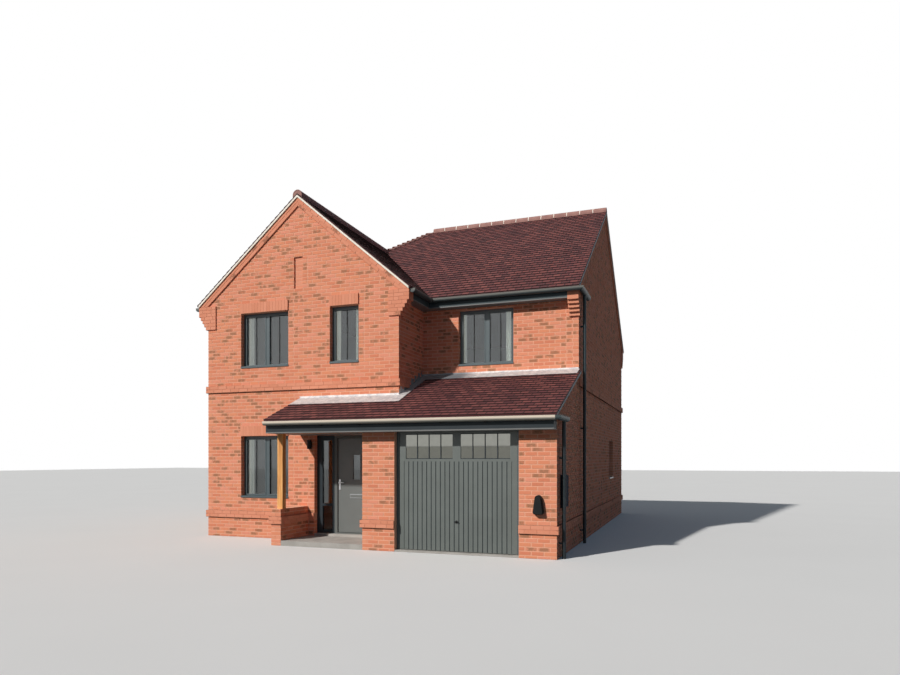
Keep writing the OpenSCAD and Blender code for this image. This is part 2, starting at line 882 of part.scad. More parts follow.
// Each window: middle, width, wall face, sill, head, lights. part says which of
// a window's pieces is made: its frame, sill or panes.
module each_window(part) {
    one_window(part, wide_x, window_w, y_gable, ground_sill, ground_head, 2);
    one_window(part, wide_x, window_w, y_gable, upper_sill, upper_head, 2);
    one_window(part, narrow_x, narrow_w, y_gable, upper_sill, upper_head, 1);
    one_window(part, recess_x, window_w, y_recess, upper_sill, upper_head, 2);
    mirror([0, 1, 0]) for (x = rear_windows) {
        one_window(part, x, window_w, -y_rear, ground_sill, ground_head, 2);
        one_window(part, x, window_w, -y_rear, upper_sill, upper_head, 2);
    }
    translate([x_right, side_y, 0]) rotate([0, 0, 90])
        one_window(part, 0, side_w, 0, side_sill, ground_head, 1);
}

module one_window(part, x, w, y, sill, head, lights) {
    if (part == "frame") window_frame(x, w, y, sill, head, lights);
    if (part == "sill") window_sill(x, w, y, sill);
    if (part == "panes") window_pane(x, w, y, sill, head, lights);
}

module window_frames() color(SLATE) each_window("frame");
module window_sills() color(SLATE) each_window("sill");
module window_glass() color(GLAZING) {
    each_window("panes");
    for (z = sidelight_z)
        block(sidelight_x0, sidelight_x1, y_gable + reveal + (frame_d - glass_t) / 2,
            y_gable + reveal + (frame_d + glass_t) / 2, z[0], z[1]);
}

// The sidelight's two panes, below and above its cross rail.
sidelight_z = [
    [floor_z + threshold_h + cross_rail_h, cross_rail_z],
    [cross_rail_z + cross_rail_h, leaf_z1 + leaf_gap - cross_rail_h]
];

// One half of a door hinge at height z: its flap and its barrel.
module hinge_half(z, side) {
    block(side < 0 ? hinge_x - 35 : hinge_x, side < 0 ? hinge_x : hinge_x + 35,
        leaf_y + leaf_t, leaf_y + leaf_t + 3, z, z + hinge_h / 2 - 0.5);
    translate([hinge_x, hinge_y, z]) cylinder(r = hinge_r, h = hinge_h / 2 - 0.5);
}

module door_frame() color(SLATE) {
    door_frame_body();
    for (z = hinge_z) {
        hinge_half(z, 1);
        translate([hinge_x, hinge_y, z]) cylinder(r = hinge_pin_r, h = hinge_h);
    }
}

module door_frame_body() difference() {
    block(door_x0, door_x1, y_gable + reveal, y_gable + reveal + frame_d, floor_z,
        ground_head);
    block(leaf_x0 - leaf_gap, leaf_x1 + leaf_gap, y_gable, y_gable + wall_t,
        floor_z + threshold_h, leaf_z1 + leaf_gap);
    for (z = sidelight_z)
        block(sidelight_x0, sidelight_x1, y_gable, y_gable + wall_t, z[0], z[1]);
}

// A fascia stands on the front edge of its soffit board.
module fascia(x0, x1, y0, y1) block(x0, x1, y0, y1, soffit_z + soffit_t, reach / 2);
module lean_board(x0, x1, y0, y1) intersection() {
    block(x0, x1, y0, y1, lean_z + soffit_t, reach / 2);
    under_lean();
}

module fascias() color(SLATE) {
    intersection() {
        fascia(x_left - fascia_out, x_left - fascia_out + fascia_t,
            y_gable + kneeler_d, y_rear + fascia_out);
        under_left();
        under_rear();
    }
    intersection() {
        fascia(x_left - fascia_out + fascia_t, x_right - kneeler_d,
            y_rear + fascia_out - fascia_t, y_rear + fascia_out);
        under_rear();
        under_left();
    }
    intersection() {
        fascia(x_gable + fascia_out - fascia_t, x_gable + fascia_out,
            y_gable + kneeler_d, y_recess - fascia_out + fascia_t);
        under_bay();
    }
    intersection() {
        fascia(x_gable + fascia_out, x_right - kneeler_d, y_recess - fascia_out,
            y_recess - fascia_out + fascia_t);
        under_front();
    }
    lean_board(cheek_x0, x_right, y_front - fascia_out,
        y_front - fascia_out + fascia_t);
    lean_board(cheek_x0, cheek_x0 + fascia_t, y_front - fascia_out + fascia_t, y_gable);
    lean_board(x_right - fascia_t, x_right, y_front - fascia_out + fascia_t, y_front);
}

module soffits() color(SOFFIT) {
    out_left = x_left - fascia_out;
    out_bay = x_gable + fascia_out;
    out_front = y_recess - fascia_out;
    out_rear = y_rear + fascia_out;
    top = soffit_z + soffit_t;
    lean_top = lean_z + soffit_t;
    block(out_left, x_left, y_gable + kneeler_d, out_rear, soffit_z, top);
    block(x_left, x_right - kneeler_d, y_rear, out_rear, soffit_z, top);
    block(x_gable, out_bay, y_gable + kneeler_d, y_recess, soffit_z, top);
    block(out_bay, x_right - kneeler_d, out_front, y_recess, soffit_z, top);
    block(cheek_x0, x_right, y_front - fascia_out, y_front, lean_z, lean_top);
    block(cheek_x0, x_garage, y_front, post_y0, lean_z, lean_top);
    block(cheek_x0, x_garage, post_y0 + post_w, y_gable, lean_z, lean_top);
    block(cheek_x0, cheek_x0 + fascia_t, post_y0, post_y0 + post_w, lean_z, lean_top);
}

// A gutter's section: its rim is at y = 0 and its middle at x = 0.
module gutter_section() {
    difference() {
        gutter_solid(gutter_r);
        gutter_solid(gutter_r - gutter_t);
    }
    translate([gutter_r - gutter_t / 2, -bead_r]) circle(bead_r);
}

module gutter_solid(r) {
    intersection() {
        translate([0, -gutter_side]) circle(r);
        translate([-r, -gutter_side - r]) square([2 * r, r]);
    }
    translate([-r, -gutter_side]) square([2 * r, gutter_side]);
}

// A gutter along +X from the origin, its rim at z = 0 and the board behind it
// at y = 0. An end is "stop" where a stop end closes it, "in" or "out" where it
// is mitred at an inner or outer corner. spots lists its brackets; without it
// they are spread evenly along the gutter.
module gutter_run(length, first, last, spots = undef) {
    grow = 2 * gutter_c;
    difference() {
        translate([first == "out" ? -grow : 0, -gutter_c, 0]) rotate([90, 0, 90])
            linear_extrude(length + (first == "out" ? grow : 0)
                + (last == "out" ? grow : 0)) mirror([1, 0]) gutter_section();
        mitre(first);
        translate([length, 0, 0]) mirror([1, 0, 0]) mitre(last);
    }
    if (first == "stop") stop_end();
    if (last == "stop") translate([length - gutter_t, 0, 0]) stop_end();
    n = max(1, round(length / bracket_gap));
    for (x = spots == undef ? [for (i = [0.5:n]) i * length / n] : spots) bracket(x, 0);
}

// A bracket that holds the gutter to a face that lies back behind the board.
module bracket(x, back)
    translate([x - bracket_w / 2, -gutter_back - gutter_t / 2, -gutter_side])
        cube([bracket_w, gutter_back + gutter_t / 2 + back, gutter_side]);

module stop_end() translate([0, -gutter_c, 0]) rotate([90, 0, 90])
    linear_extrude(gutter_t) gutter_solid(gutter_r);

// What a mitre takes off a gutter's first end.
module mitre(kind) if (kind != "stop")
    rotate([0, 0, kind == "in" ? 45 : -45]) translate([-size_m, -size_m, -size_m / 2])
        cube([size_m, 2 * size_m, size_m]);
size_m = 8 * gutter_c;

module gutters() color(SLATE) {
    side_x = x_right + proud;
    translate([x_gable + fascia_out, y_recess - fascia_out, gutter_z])
        gutter_run(side_x - x_gable - fascia_out, "in", "out");
    translate([side_x, y_recess - fascia_out, gutter_z]) rotate([0, 0, 90])
        side_return(fascia_out + main_return);
    translate([x_gable + fascia_out, y_gable, gutter_z]) rotate([0, 0, 90])
        gutter_run(gable_step - fascia_out, "stop", "in");
    translate([x_left - fascia_out, y_rear + fascia_out, gutter_z]) rotate([0, 0, -90])
        gutter_run(y_rear + fascia_out - y_gable, "out", "stop");
    translate([x_right, y_rear + fascia_out, gutter_z]) rotate([0, 0, 180])
        gutter_run(house_w + fascia_out, "stop", "out");
    translate([cheek_x0, y_front - fascia_out, lean_gutter_z])
        gutter_run(side_x - cheek_x0, "stop", "out");
    translate([side_x, y_front - fascia_out, lean_gutter_z]) rotate([0, 0, 90])
        side_return(fascia_out + lean_return);
}

// A gutter that has turned an outer corner, on two brackets to the wall.
module side_return(length) {
    gutter_run(length, "out", "stop", []);
    for (x = [fascia_out + brick_l + 2 * bracket_w, length - 2 * bracket_w])
        bracket(x, proud);
}

// A pipe between two points.
module pipe(a, b, r) {
    run = b - a;
    translate(a) rotate([0, acos(run.z / norm(run)), atan2(run.y, run.x)])
        cylinder(r = r, h = norm(run));
}

// A downpipe that stands out from a wall facing -Y at y = 0, held by clips.
clip_h = 30;
clip_foot = 250;
clip_head = 650;
module downpipe(out, top) {
    translate([0, -out, 0]) cylinder(r = pipe_r, h = top);
    n = ceil(top / clip_gap);
    for (i = [0:n - 1])
        translate([0, 0, clip_foot + i * (top - clip_foot - clip_head) / (n - 1)]) {
            block(-clip_h / 2, clip_h / 2, -out, 0, 0, clip_h);
            translate([0, -out, 0]) cylinder(r = pipe_r + collar, h = clip_h);
        }
}

// A downpipe whose swan neck reaches out under the eaves to its gutter.
neck_h = 200;
neck_below = 60;
collar = 4;
module eaves_downpipe() {
    out = pipe_r + clip_h;
    neck = fascia_out + gutter_c;
    top = soffit_z - neck_below;
    foot = top - neck_h;
    downpipe(out, foot);
    pipe([0, -out, foot], [0, -neck, top], pipe_r);
    translate([0, -neck, top]) cylinder(r = pipe_r, h = gutter_z - pipe_top - top);
    for (p = [[-out, foot], [-neck, top]])
        translate([0, p[0], p[1] - clip_h]) cylinder(r = pipe_r + collar, h = 2 * clip_h);
}

// The rear and left downpipes stand this far from the corner beside them.
pipe_corner = 300;
pipe_top = gutter_side + gutter_r;
module downpipes() color(SLATE) {
    translate([x_right, y_recess + pipe_in, 0]) rotate([0, 0, 90])
        downpipe(pipe_out, gutter_z - pipe_top);
    translate([x_right, y_front + pipe_in, 0]) rotate([0, 0, 90])
        downpipe(pipe_out, lean_gutter_z - pipe_top);
    translate([x_right - pipe_corner, y_rear, 0]) rotate([0, 0, 180]) eaves_downpipe();
    translate([x_left, y_gable + pipe_corner, 0]) rotate([0, 0, -90]) eaves_downpipe();
}

// Lead laid on the lean-to's tiles.
module laid_lead(x0, x1, y0, y1) intersection() {
    block(x0, x1, y0, y1, 0, reach / 2);
    under_lean(-lead_t - seat);
}

// Lead stood up a wall that faces -Y.
module lead_upstand(x0, x1, y)
    block(x0, x1, y - lead_t, y, 0, lean_top_z(y) + upstand_h);

// Height of the lean-to's tiles at y.
function lean_top_z(y) = lean_tile_z + (y - y_front + lean_out) * tan(lean_pitch);

// The steps of the lead up the bay's return wall, one for each brick course.
module lead_steps(t) {
    first = ceil((lean_top_z(y_gable) + step_lead_h - course_base) / course);
    last = ceil((lean_top_z(y_recess) + step_lead_h - course_base) / course);
    for (n = [first:last]) {
        y = y_gable + (course_z(n - 1) - step_lead_h - lean_top_z(y_gable))
            / tan(lean_pitch);
        block(x_gable, x_gable + t, max(y_gable, y),
            min(y_recess, y + course / tan(lean_pitch)), 0, course_z(n));
    }
}

module lead_flashings() color(LEAD) difference() {
    union() {
        laid_lead(lean_x0, x_gable + side_lead_w, y_gable - apron_w, y_gable);
        laid_lead(x_gable, x_gable + side_lead_w, y_gable - eps, y_recess);
        laid_lead(x_gable, x_right, y_recess - rear_apron_w, y_recess);
        lead_upstand(lean_x0, x_gable + lead_t, y_gable);
        lead_upstand(x_gable, x_right, y_recess);
        lead_steps(lead_t);
    }
    under_lean(-seat);
}

module wall_lamp() color(BLACK)
    translate([door_x0 - lamp_side, y_gable, lamp_z]) {
        block(-lamp_w / 3, lamp_w / 3, -lamp_w / 4, 0, lamp_h / 5, 4 * lamp_h / 5);
        translate([0, -lamp_w * 0.7, 0]) cylinder(d = lamp_w, h = lamp_h);
    }

// The charging box: narrow and round at the top, wide at its rounded foot, with
// a smaller front that stands out from its back.
charger_foot_r = 38;
charger_back_d = charger_d * 0.6;
charger_front_in = 14;
module charging_box() color(BLACK)
    translate([x_right - charger_in, y_front, charger_z]) rotate([90, 0, 0]) {
        linear_extrude(charger_back_d) charger_outline(0);
        linear_extrude(charger_d) charger_outline(charger_front_in);
    }

// The box's outline, drawn in by a margin.
module charger_outline(margin) {
    top_r = charger_top_w / 2;
    foot_x = charger_w / 2 - charger_foot_r;
    polygon(concat(
        arc([foot_x, charger_foot_r], charger_foot_r - margin, -90, 0),
        arc([0, charger_h - top_r], top_r - margin, 15, 165),
        arc([-foot_x, charger_foot_r], charger_foot_r - margin, 180, 270)
    ));
}

function arc(centre, r, from, to) =
    [for (a = [from:15:to]) centre + r * [cos(a), sin(a)]];

// The meter box: a shallow cabinet with a sloping top and a groove round its door.
meter_rim = 30;
meter_groove = 6;
module meter_box() color(SLATE)
    translate([x_right, y_front + meter_in, meter_z]) difference() {
        rotate([90, 0, 0]) mirror([0, 0, 1]) linear_extrude(meter_w) polygon([
            [0, 0], [meter_d, 0], [meter_d, meter_h - meter_d / 2], [0, meter_h]
        ]);
        difference() {
            meter_door(meter_rim, meter_d - meter_groove);
            meter_door(meter_rim + meter_groove, 0);
        }
    }

module meter_door(margin, back)
    block(back, 2 * meter_d, margin, meter_w - margin, margin,
        meter_h - meter_d / 2 - margin);

module both_sides() {
    children();
    translate([2 * centre_x, 0, 0]) mirror([1, 0, 0]) children();
}

arm_x = garage_x0 + 22;
garage_rail_h = 25;
side_plate_t = 6;
side_plate_over = 40;
// The frame's head and posts, and behind each post a plate with a fixed pin.
module garage_door_frame() color(SLATE) {
    front = y_front + garage_reveal;
    back = front + garage_frame_d;
    pin_x = garage_x0 + side_plate_t + seat;
    block(garage_x0 + garage_frame_w + seat, garage_x1 - garage_frame_w - seat,
        front, back, garage_head_z - garage_rail_h, garage_head_z);
    both_sides() {
        block(garage_x0, garage_x0 + garage_frame_w, front, back, garage_floor_z,
            garage_head_z);
        block(garage_x0, garage_x0 + side_plate_t, back + seat,
            arm_y + side_plate_over, garage_floor_z, garage_head_z);
        translate([pin_x, arm_y, arm_z]) rotate([0, 90, 0]) {
            cylinder(r = arm_pin_r, h = arm_x + arm_t + 4 - pin_x);
            cylinder(r = 2 * arm_pin_r, h = arm_x - 1 - pin_x);
        }
    }
}

module garage_door_arms() color(STEEL) both_sides()
    translate([arm_x, arm_y, 0]) difference() {
        union() {
            translate([0, -arm_w / 2, pin_z]) cube([arm_t, arm_w, arm_l]);
            for (z = [pin_z, arm_z]) translate([0, 0, z]) rotate([0, 90, 0])
                cylinder(d = arm_w, h = arm_t);
        }
        for (z = [pin_z, arm_z]) translate([-arm_t, 0, z]) rotate([0, 90, 0])
            cylinder(r = arm_pin_r + arm_clear, h = 3 * arm_t);
    }

module garage_door() color(DOOR) {
    grooves = floor((panel_x1 - panel_x0 - rib_pitch) / rib_pitch / 2);
    difference() {
        block(panel_x0, panel_x1, panel_y, panel_y + panel_t, panel_z0, panel_z1);
        panes() translate([0, -panel_t, 0]) cube([pane_w, 3 * panel_t, pane_h]);
        for (i = [-grooves:grooves - 1])
            block(centre_x + (i + 0.5) * rib_pitch - groove_w / 2,
                centre_x + (i + 0.5) * rib_pitch + groove_w / 2,
                panel_y - panel_t, panel_y + groove_deep, panel_z0 - eps,
                pane_z - rib_pitch / 2);
    }
    both_sides() {
        block(panel_x0 + 5, panel_x0 + 11, panel_y + panel_t - eps, arm_y + 20,
            pin_z - 30, pin_z + 30);
        translate([arm_x - 2, arm_y, pin_z]) rotate([0, 90, 0])
            cylinder(r = arm_pin_r, h = panel_x0 + 8 - arm_x);
    }
}

// The lower corner of each of the garage door's two glazed panels.
module panes() for (side = [-1, 1])
    translate([centre_x + side * (centre_stile + pane_w) / 2 - pane_w / 2, panel_y,
        pane_z]) children();

module garage_door_glass() color(GLAZING) panes()
    translate([0, panel_t / 2 - 6, 0]) cube([pane_w, 12, pane_h]);

// A turning handle: a round plate, a neck and a bar across it.
rose_r = 26;
rose_t = 6;
grip_r = 9;
grip_out = 30;
grip_l = 84;
module garage_door_handle() color(BLACK)
    translate([centre_x, panel_y, garage_handle_z]) rotate([90, 0, 0]) {
        cylinder(r = rose_r, h = rose_t);
        cylinder(r = grip_r, h = grip_out);
        translate([0, 0, grip_out]) rotate([0, 90, 0])
            cylinder(r = grip_r, h = grip_l, center = true);
    }

module front_door() color(DOOR) difference() {
    union() {
        block(leaf_x0, leaf_x1, leaf_y, leaf_y + leaf_t, leaf_z0, leaf_z1);
        for (z = hinge_z) hinge_half(z + hinge_h / 2, -1);
        leaf_glass(bead_w) block(0, leaf_glass_w + 2 * bead_w, leaf_y - bead_out,
            leaf_y + leaf_t, 0, leaf_glass_h + 2 * bead_w);
    }
    for (z = hinge_z) translate([hinge_x, hinge_y, z])
        cylinder(r = hinge_pin_r + hinge_clear, h = 2 * hinge_h);
    leaf_glass(0) block(0, leaf_glass_w, leaf_y - leaf_t, leaf_y + 2 * leaf_t, 0,
        leaf_glass_h);
}

// The lower left corner of the door's glass, grown by a margin.
module leaf_glass(margin)
    translate([leaf_x - leaf_glass_w / 2 - margin, 0, leaf_glass_z - margin]) children();

module front_door_glass() color(GLAZING)
    leaf_glass(0) block(0, leaf_glass_w, leaf_y + (leaf_t - glass_t) / 2,
        leaf_y + (leaf_t + glass_t) / 2, 0, leaf_glass_h);

// The handle's plate and lever, and the letter plate with its flap.
plate_w = 40;
plate_h = 215;
plate_t = 8;
plate_over = 65;
lever_out = 46;
lever_r = 10;
flap_margin = 16;
flap_t = 6;
module front_door_fittings() color(STEEL) {
    x = leaf_x0 + plate_w;
    block(x - plate_w / 2, x + plate_w / 2, leaf_y - plate_t, leaf_y,
        lever_z + plate_over - plate_h, lever_z + plate_over);
    translate([x, leaf_y, lever_z]) rotate([90, 0, 0])
        cylinder(r = lever_r, h = lever_out + lever_r);
    translate([x, leaf_y - lever_out, lever_z]) rotate([0, 90, 0])
        cylinder(r = lever_r, h = lever_l);
    letter_plate(0, 0, plate_t);
    letter_plate(flap_margin, plate_t / 2, plate_t + flap_t);
}

module letter_plate(margin, back, out)
    block(leaf_x - letter_w / 2 + margin, leaf_x + letter_w / 2 - margin,
        leaf_y - out, leaf_y - back, letter_z + margin, letter_z + letter_h - margin);

ground_floor();
first_floor();
front_wall_left();
front_wall_right();
front_wall_over_door();
gable_front_wall();
gable_return_wall();
recess_wall();
garage_piers();
garage_lintel();
garage_side_walls();
right_side_wall();
right_gable_wall();
left_wall();
rear_wall();
porch_wall();
porch_post();
porch_beam();
roof_left_slope();
roof_front_slope();
roof_rear_slope();
roof_gable_slope();
lean_to_roof();
ridge_tiles();
verge_trim();
brick_bands();
kneelers();
window_heads();
window_frames();
window_sills();
window_glass();
door_frame();
fascias();
soffits();
gutters();
downpipes();
lead_flashings();
wall_lamp();
charging_box();
meter_box();
garage_door_frame();
front_door();
front_door_glass();
front_door_fittings();
garage_door_arms();
garage_door();
garage_door_glass();
garage_door_handle();
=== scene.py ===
"""Looks for the brick house: bricks, roof tiles, glazing, boards, metal and light,
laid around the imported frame. Metres, in the frame's own axes."""

import json
import math

import bmesh
import bpy
from mathutils import Euler, Matrix, Vector


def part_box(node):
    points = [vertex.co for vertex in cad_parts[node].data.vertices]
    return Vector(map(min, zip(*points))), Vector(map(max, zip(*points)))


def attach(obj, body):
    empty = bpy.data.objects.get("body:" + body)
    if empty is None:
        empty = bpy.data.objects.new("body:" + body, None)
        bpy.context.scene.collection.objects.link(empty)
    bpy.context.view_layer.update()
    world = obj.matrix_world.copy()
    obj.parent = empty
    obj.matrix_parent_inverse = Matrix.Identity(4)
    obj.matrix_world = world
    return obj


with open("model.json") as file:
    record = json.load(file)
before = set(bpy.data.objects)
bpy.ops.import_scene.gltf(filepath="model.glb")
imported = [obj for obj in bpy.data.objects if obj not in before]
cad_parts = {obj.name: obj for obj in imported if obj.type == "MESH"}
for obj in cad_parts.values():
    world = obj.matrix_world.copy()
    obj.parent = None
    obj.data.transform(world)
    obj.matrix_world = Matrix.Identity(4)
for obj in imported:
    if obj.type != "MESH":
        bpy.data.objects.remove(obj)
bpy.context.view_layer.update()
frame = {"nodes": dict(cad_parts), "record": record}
nodes = frame["nodes"]
scene = bpy.context.scene


# ---- Node trees: one class for numbers, one method for every node ----


class Value:
    """A number that varies over a surface. Python's operators add Math nodes."""

    def __init__(self, graph, socket):
        self.graph = graph
        self.socket = socket

    def math(self, operation, *others):
        return self.graph.math(operation, self, *others)

    def __add__(self, other):
        return self.math("ADD", other)

    def __radd__(self, other):
        return self.graph.math("ADD", other, self)

    def __sub__(self, other):
        return self.math("SUBTRACT", other)

    def __rsub__(self, other):
        return self.graph.math("SUBTRACT", other, self)

    def __mul__(self, other):
        return self.math("MULTIPLY", other)

    def __rmul__(self, other):
        return self.graph.math("MULTIPLY", other, self)

    def __abs__(self):
        return self.math("ABSOLUTE")

    def __lt__(self, other):
        return self.math("LESS_THAN", other)

    def __gt__(self, other):
        return self.math("GREATER_THAN", other)

    def step(self, low, high):
        """A smooth rise from 0 at low to 1 at high."""
        node = self.graph.add(
            "ShaderNodeMapRange",
            {"interpolation_type": "SMOOTHSTEP"},
            {"Value": self, "From Min": low, "From Max": high},
        )
        return self.graph.value(node, 0)


class Graph:
    """A shader or geometry tree that is built by adding nodes to it."""

    def __init__(self, tree):
        self.tree = tree

    def add(self, kind, settings=None, sockets=None):
        """Adds any node: its settings first, then what its sockets take."""
        node = self.tree.nodes.new(kind)
        for name, setting in (settings or {}).items():
            setattr(node, name, setting)
        for name, given in (sockets or {}).items():
            self.feed(node.inputs[name], given)
        return node

    def feed(self, socket, given):
        if isinstance(given, Value):
            given = given.socket
        if isinstance(given, bpy.types.NodeSocket):
            self.tree.links.new(given, socket)
        else:
            socket.default_value = given

    def value(self, node, output):
        return Value(self, node.outputs[output])

    def out(self, kind, settings=None, sockets=None, output=0):
        """Adds a node and gives the socket that comes out of it."""
        return self.add(kind, settings, sockets).outputs[output]

    def math(self, operation, *terms):
        kind = {"operation": operation}
        return Value(self, self.out("ShaderNodeMath", kind, dict(enumerate(terms))))

    def vector(self, operation, *terms):
        kind = {"operation": operation}
        return self.out("ShaderNodeVectorMath", kind, dict(enumerate(terms)))

    def mix(self, amount, first, second, blend="MIX"):
        node = self.add("ShaderNodeMix", {"data_type": "RGBA", "blend_type": blend})
        self.feed(node.inputs[0], amount)
        for socket, given in ((node.inputs[6], first), (node.inputs[7], second)):
            self.feed(socket, (*given, 1.0) if isinstance(given, tuple) else given)
        return node.outputs[2]


SHADER_SOCKETS = {
    "roughness": "Roughness",
    "metallic": "Metallic",
    "specular": "Specular IOR Level",
    "coat": "Coat Weight",
    "coat_roughness": "Coat Roughness",
    "transmission": "Transmission Weight",
    "ior": "IOR",
}


class Finish(Graph):
    """A material on a Principled shader, with the patterns that the finishes use."""

    def __init__(self, name, **shader):
        self.material = bpy.data.materials.new(name)
        self.material.use_nodes = True
        super().__init__(self.material.node_tree)
        self.shader = self.tree.nodes["Principled BSDF"]
        for short, given in shader.items():
            self.feed(self.shader.inputs[SHADER_SOCKETS[short]], given)
        self.place = self.add("ShaderNodeTexCoord").outputs["Object"]

    def split(self, socket):
        node = self.add("ShaderNodeSeparateXYZ", None, {0: socket})
        return [self.value(node, i) for i in range(3)]

    def stretched(self, x, y, z):
        return self.vector("MULTIPLY", self.place, (x, y, z))

    def noise(self, scale, detail=3.0, rough=0.5, at=None):
        sockets = {"Scale": scale, "Detail": detail, "Roughness": rough}
        sockets["Vector"] = at or self.place
        return Value(self, self.out("ShaderNodeTexNoise", None, sockets))

    def attribute(self, name, output="Fac"):
        return self.out("ShaderNodeAttribute", {"attribute_name": name}, None, output)

    def ramp(self, amount, stops):
        node = self.add("ShaderNodeValToRGB")
        line = node.color_ramp.elements
        while len(line) < len(stops):
            line.new(0.5)
        for element, (where, colour) in zip(line, stops):
            element.position = where
            element.color = (*colour, 1.0)
        self.feed(node.inputs[0], amount)
        return node.outputs[0]

    def relief(self, height, distance, strength=1.0):
        sockets = {"Height": height, "Distance": distance, "Strength": strength}
        bump = self.out("ShaderNodeBump", None, sockets)
        self.feed(self.shader.inputs["Normal"], bump)

    def paint(self, colour=None, roughness=None):
        if colour is not None:
            self.feed(self.shader.inputs["Base Color"], colour)
        if roughness is not None:
            self.feed(self.shader.inputs["Roughness"], roughness)
        return self.material


def rgb(red, green, blue):
    """A colour written as a picture's 0-255 values, as the linear one shaders use."""
    return tuple(
        ((c / 255 + 0.055) / 1.055) ** 2.4 if c > 10 else c / 255 / 12.92
        for c in (red, green, blue)
    )


# ---- Finishes ----


def brick_finish(name, stops, fleck_share, fleck):
    """Fired brick: a tint for each brick, soft dark burns, sand and worn arrises."""
    f = Finish(name, roughness=0.85, specular=0.25)
    tint = Value(f, f.attribute("tint"))
    x, _, z = f.split(f.attribute("corner", "Vector"))
    body = f.ramp(tint, stops)
    mottle = f.noise(28.0, 4.0, 0.6)
    sand = f.noise(420.0, 2.0)
    body = f.mix(mottle.step(0.35, 0.75) * 0.45, body, stops[-1][1])
    burnt = (tint * 7.31).math("FRACT") < fleck_share
    middle = 1.0 - abs(x).step(0.28, 0.52)
    burn = burnt * middle * f.noise(11.0, 2.0).step(0.25, 0.55)
    body = f.mix(burn * 0.8, body, fleck)
    rim = (abs(x).math("MAXIMUM", abs(z))).step(0.40, 0.5)
    body = f.mix(rim * 0.35, body, rgb(228, 160, 128))
    body = f.mix(sand.step(0.55, 0.8) * 0.15, body, rgb(232, 176, 146))
    f.relief(mottle * 0.6 + sand * 0.4, 0.0025)
    return f.paint(body)


def mortar_finish(name):
    """Walls of the frame: mortar outside, plain plaster inside the rooms."""
    f = Finish(name, roughness=0.95, specular=0.2)
    x, y, z = f.split(f.place)
    room = 0.0
    for low, high in ROOMS:
        inside = (x > low[0]) * (x < high[0]) * (y > low[1]) * (y < high[1])
        if low[0] == X_GARAGE + MID:
            inside = inside * (z < LEAN_Z)
        room = inside.math("MAXIMUM", room)
    sand = f.noise(300.0, 3.0)
    cloud = f.noise(3.0, 3.0)
    mortar = f.mix(cloud, rgb(229, 172, 142), rgb(237, 184, 155))
    mortar = f.mix(sand.step(0.5, 0.8) * 0.3, mortar, rgb(208, 152, 124))
    plaster = f.mix(cloud, rgb(206, 203, 196), rgb(214, 211, 205))
    f.relief(sand, 0.002)
    return f.paint(f.mix(room, mortar, plaster))


def tile_finish(name, stops, edge):
    """Plain clay tile: a tint for each tile, a sanded face, painted shade at tail, head
    and sides.
    """
    f = Finish(name, roughness=0.8, specular=0.3)
    tint = Value(f, f.attribute("tint"))
    x, y, _ = f.split(f.attribute("corner", "Vector"))
    body = f.ramp(tint, stops)
    cloud = f.noise(1.6, 3.0)
    sand = f.noise(260.0, 2.0)
    body = f.mix(cloud.step(0.4, 0.7) * 0.25, body, stops[0][1])
    body = f.mix(f.noise(22.0, 3.0).step(0.45, 0.8) * 0.35, body, stops[-1][1])
    # Painted shade: the tail face, the head where the tile above lies over it, and the
    # side gaps are darkened to the edge colour for the shadows there.
    tail = (0.0 - y).step(0.42, 0.49)
    head = y.step(0.3, 0.4)
    side = abs(x).step(0.42, 0.48)
    dark = tail.math("MAXIMUM", side).math("MAXIMUM", head)
    body = f.mix(dark, body, edge)
    f.relief(sand * 0.5 + f.noise(60.0) * 0.5, 0.002)
    return f.paint(body)


def slab_finish(name, colour, shade, scale, grain):
    """A plain surface with a cloudy tint and a fine grain: clay, cement, concrete."""
    f = Finish(name, roughness=0.8, specular=0.3)
    cloud = f.noise(scale, 4.0, 0.6)
    sand = f.noise(grain, 3.0)
    body = f.mix(cloud.step(0.3, 0.7), colour, shade)
    body = f.mix(sand.step(0.5, 0.85) * 0.2, body, shade)
    f.relief(cloud * 0.3 + sand * 0.7, 0.001)
    return f.paint(body, 0.8 + (cloud - 0.5) * 0.12)


def coated_finish(name, colour, roughness, coat=0.0, level=0.5, beyond=None):
    """Powder-coated or moulded: even colour, faint orange peel, rain dust. Beyond an
    edge along one axis it can take a second colour."""
    f = Finish(
        name, roughness=roughness, specular=level, coat=coat, coat_roughness=0.2
    )
    cloud = f.noise(2.2, 3.0)
    peel = f.noise(700.0, 1.0)
    dust = f.noise(9.0, 4.0, 0.65).step(0.5, 0.85)
    pale = tuple(min(1.0, c * 1.25 + 0.01) for c in colour)
    body = f.mix(cloud.step(0.3, 0.7) * 0.35 + dust * 0.25, colour, pale)
    if beyond:
        axis, edge, other = beyond
        body = f.mix(f.split(f.place)[axis] > edge, body, other)
    f.relief(peel, 0.0003, 0.5)
    return f.paint(body, roughness + dust * 0.12)


def oak_finish(name):
    """Oiled oak: long grain up the post, with rays and a few darker growth lines."""
    f = Finish(name, roughness=0.55, specular=0.4)
    along = f.stretched(26.0, 26.0, 1.6)
    grain = f.noise(1.0, 5.0, 0.6, along)
    fine = f.noise(1.0, 2.0, 0.5, f.stretched(240.0, 240.0, 9.0))
    body = f.ramp(
        grain,
        [
            (0.3, rgb(190, 124, 66)),
            (0.5, rgb(226, 162, 94)),
            (0.7, rgb(244, 192, 124)),
        ],
    )
    body = f.mix(fine.step(0.55, 0.75) * 0.4, body, rgb(150, 98, 54))
    f.relief(fine * 0.6 + grain * 0.4, 0.0012)
    return f.paint(body, 0.5 + fine * 0.15)


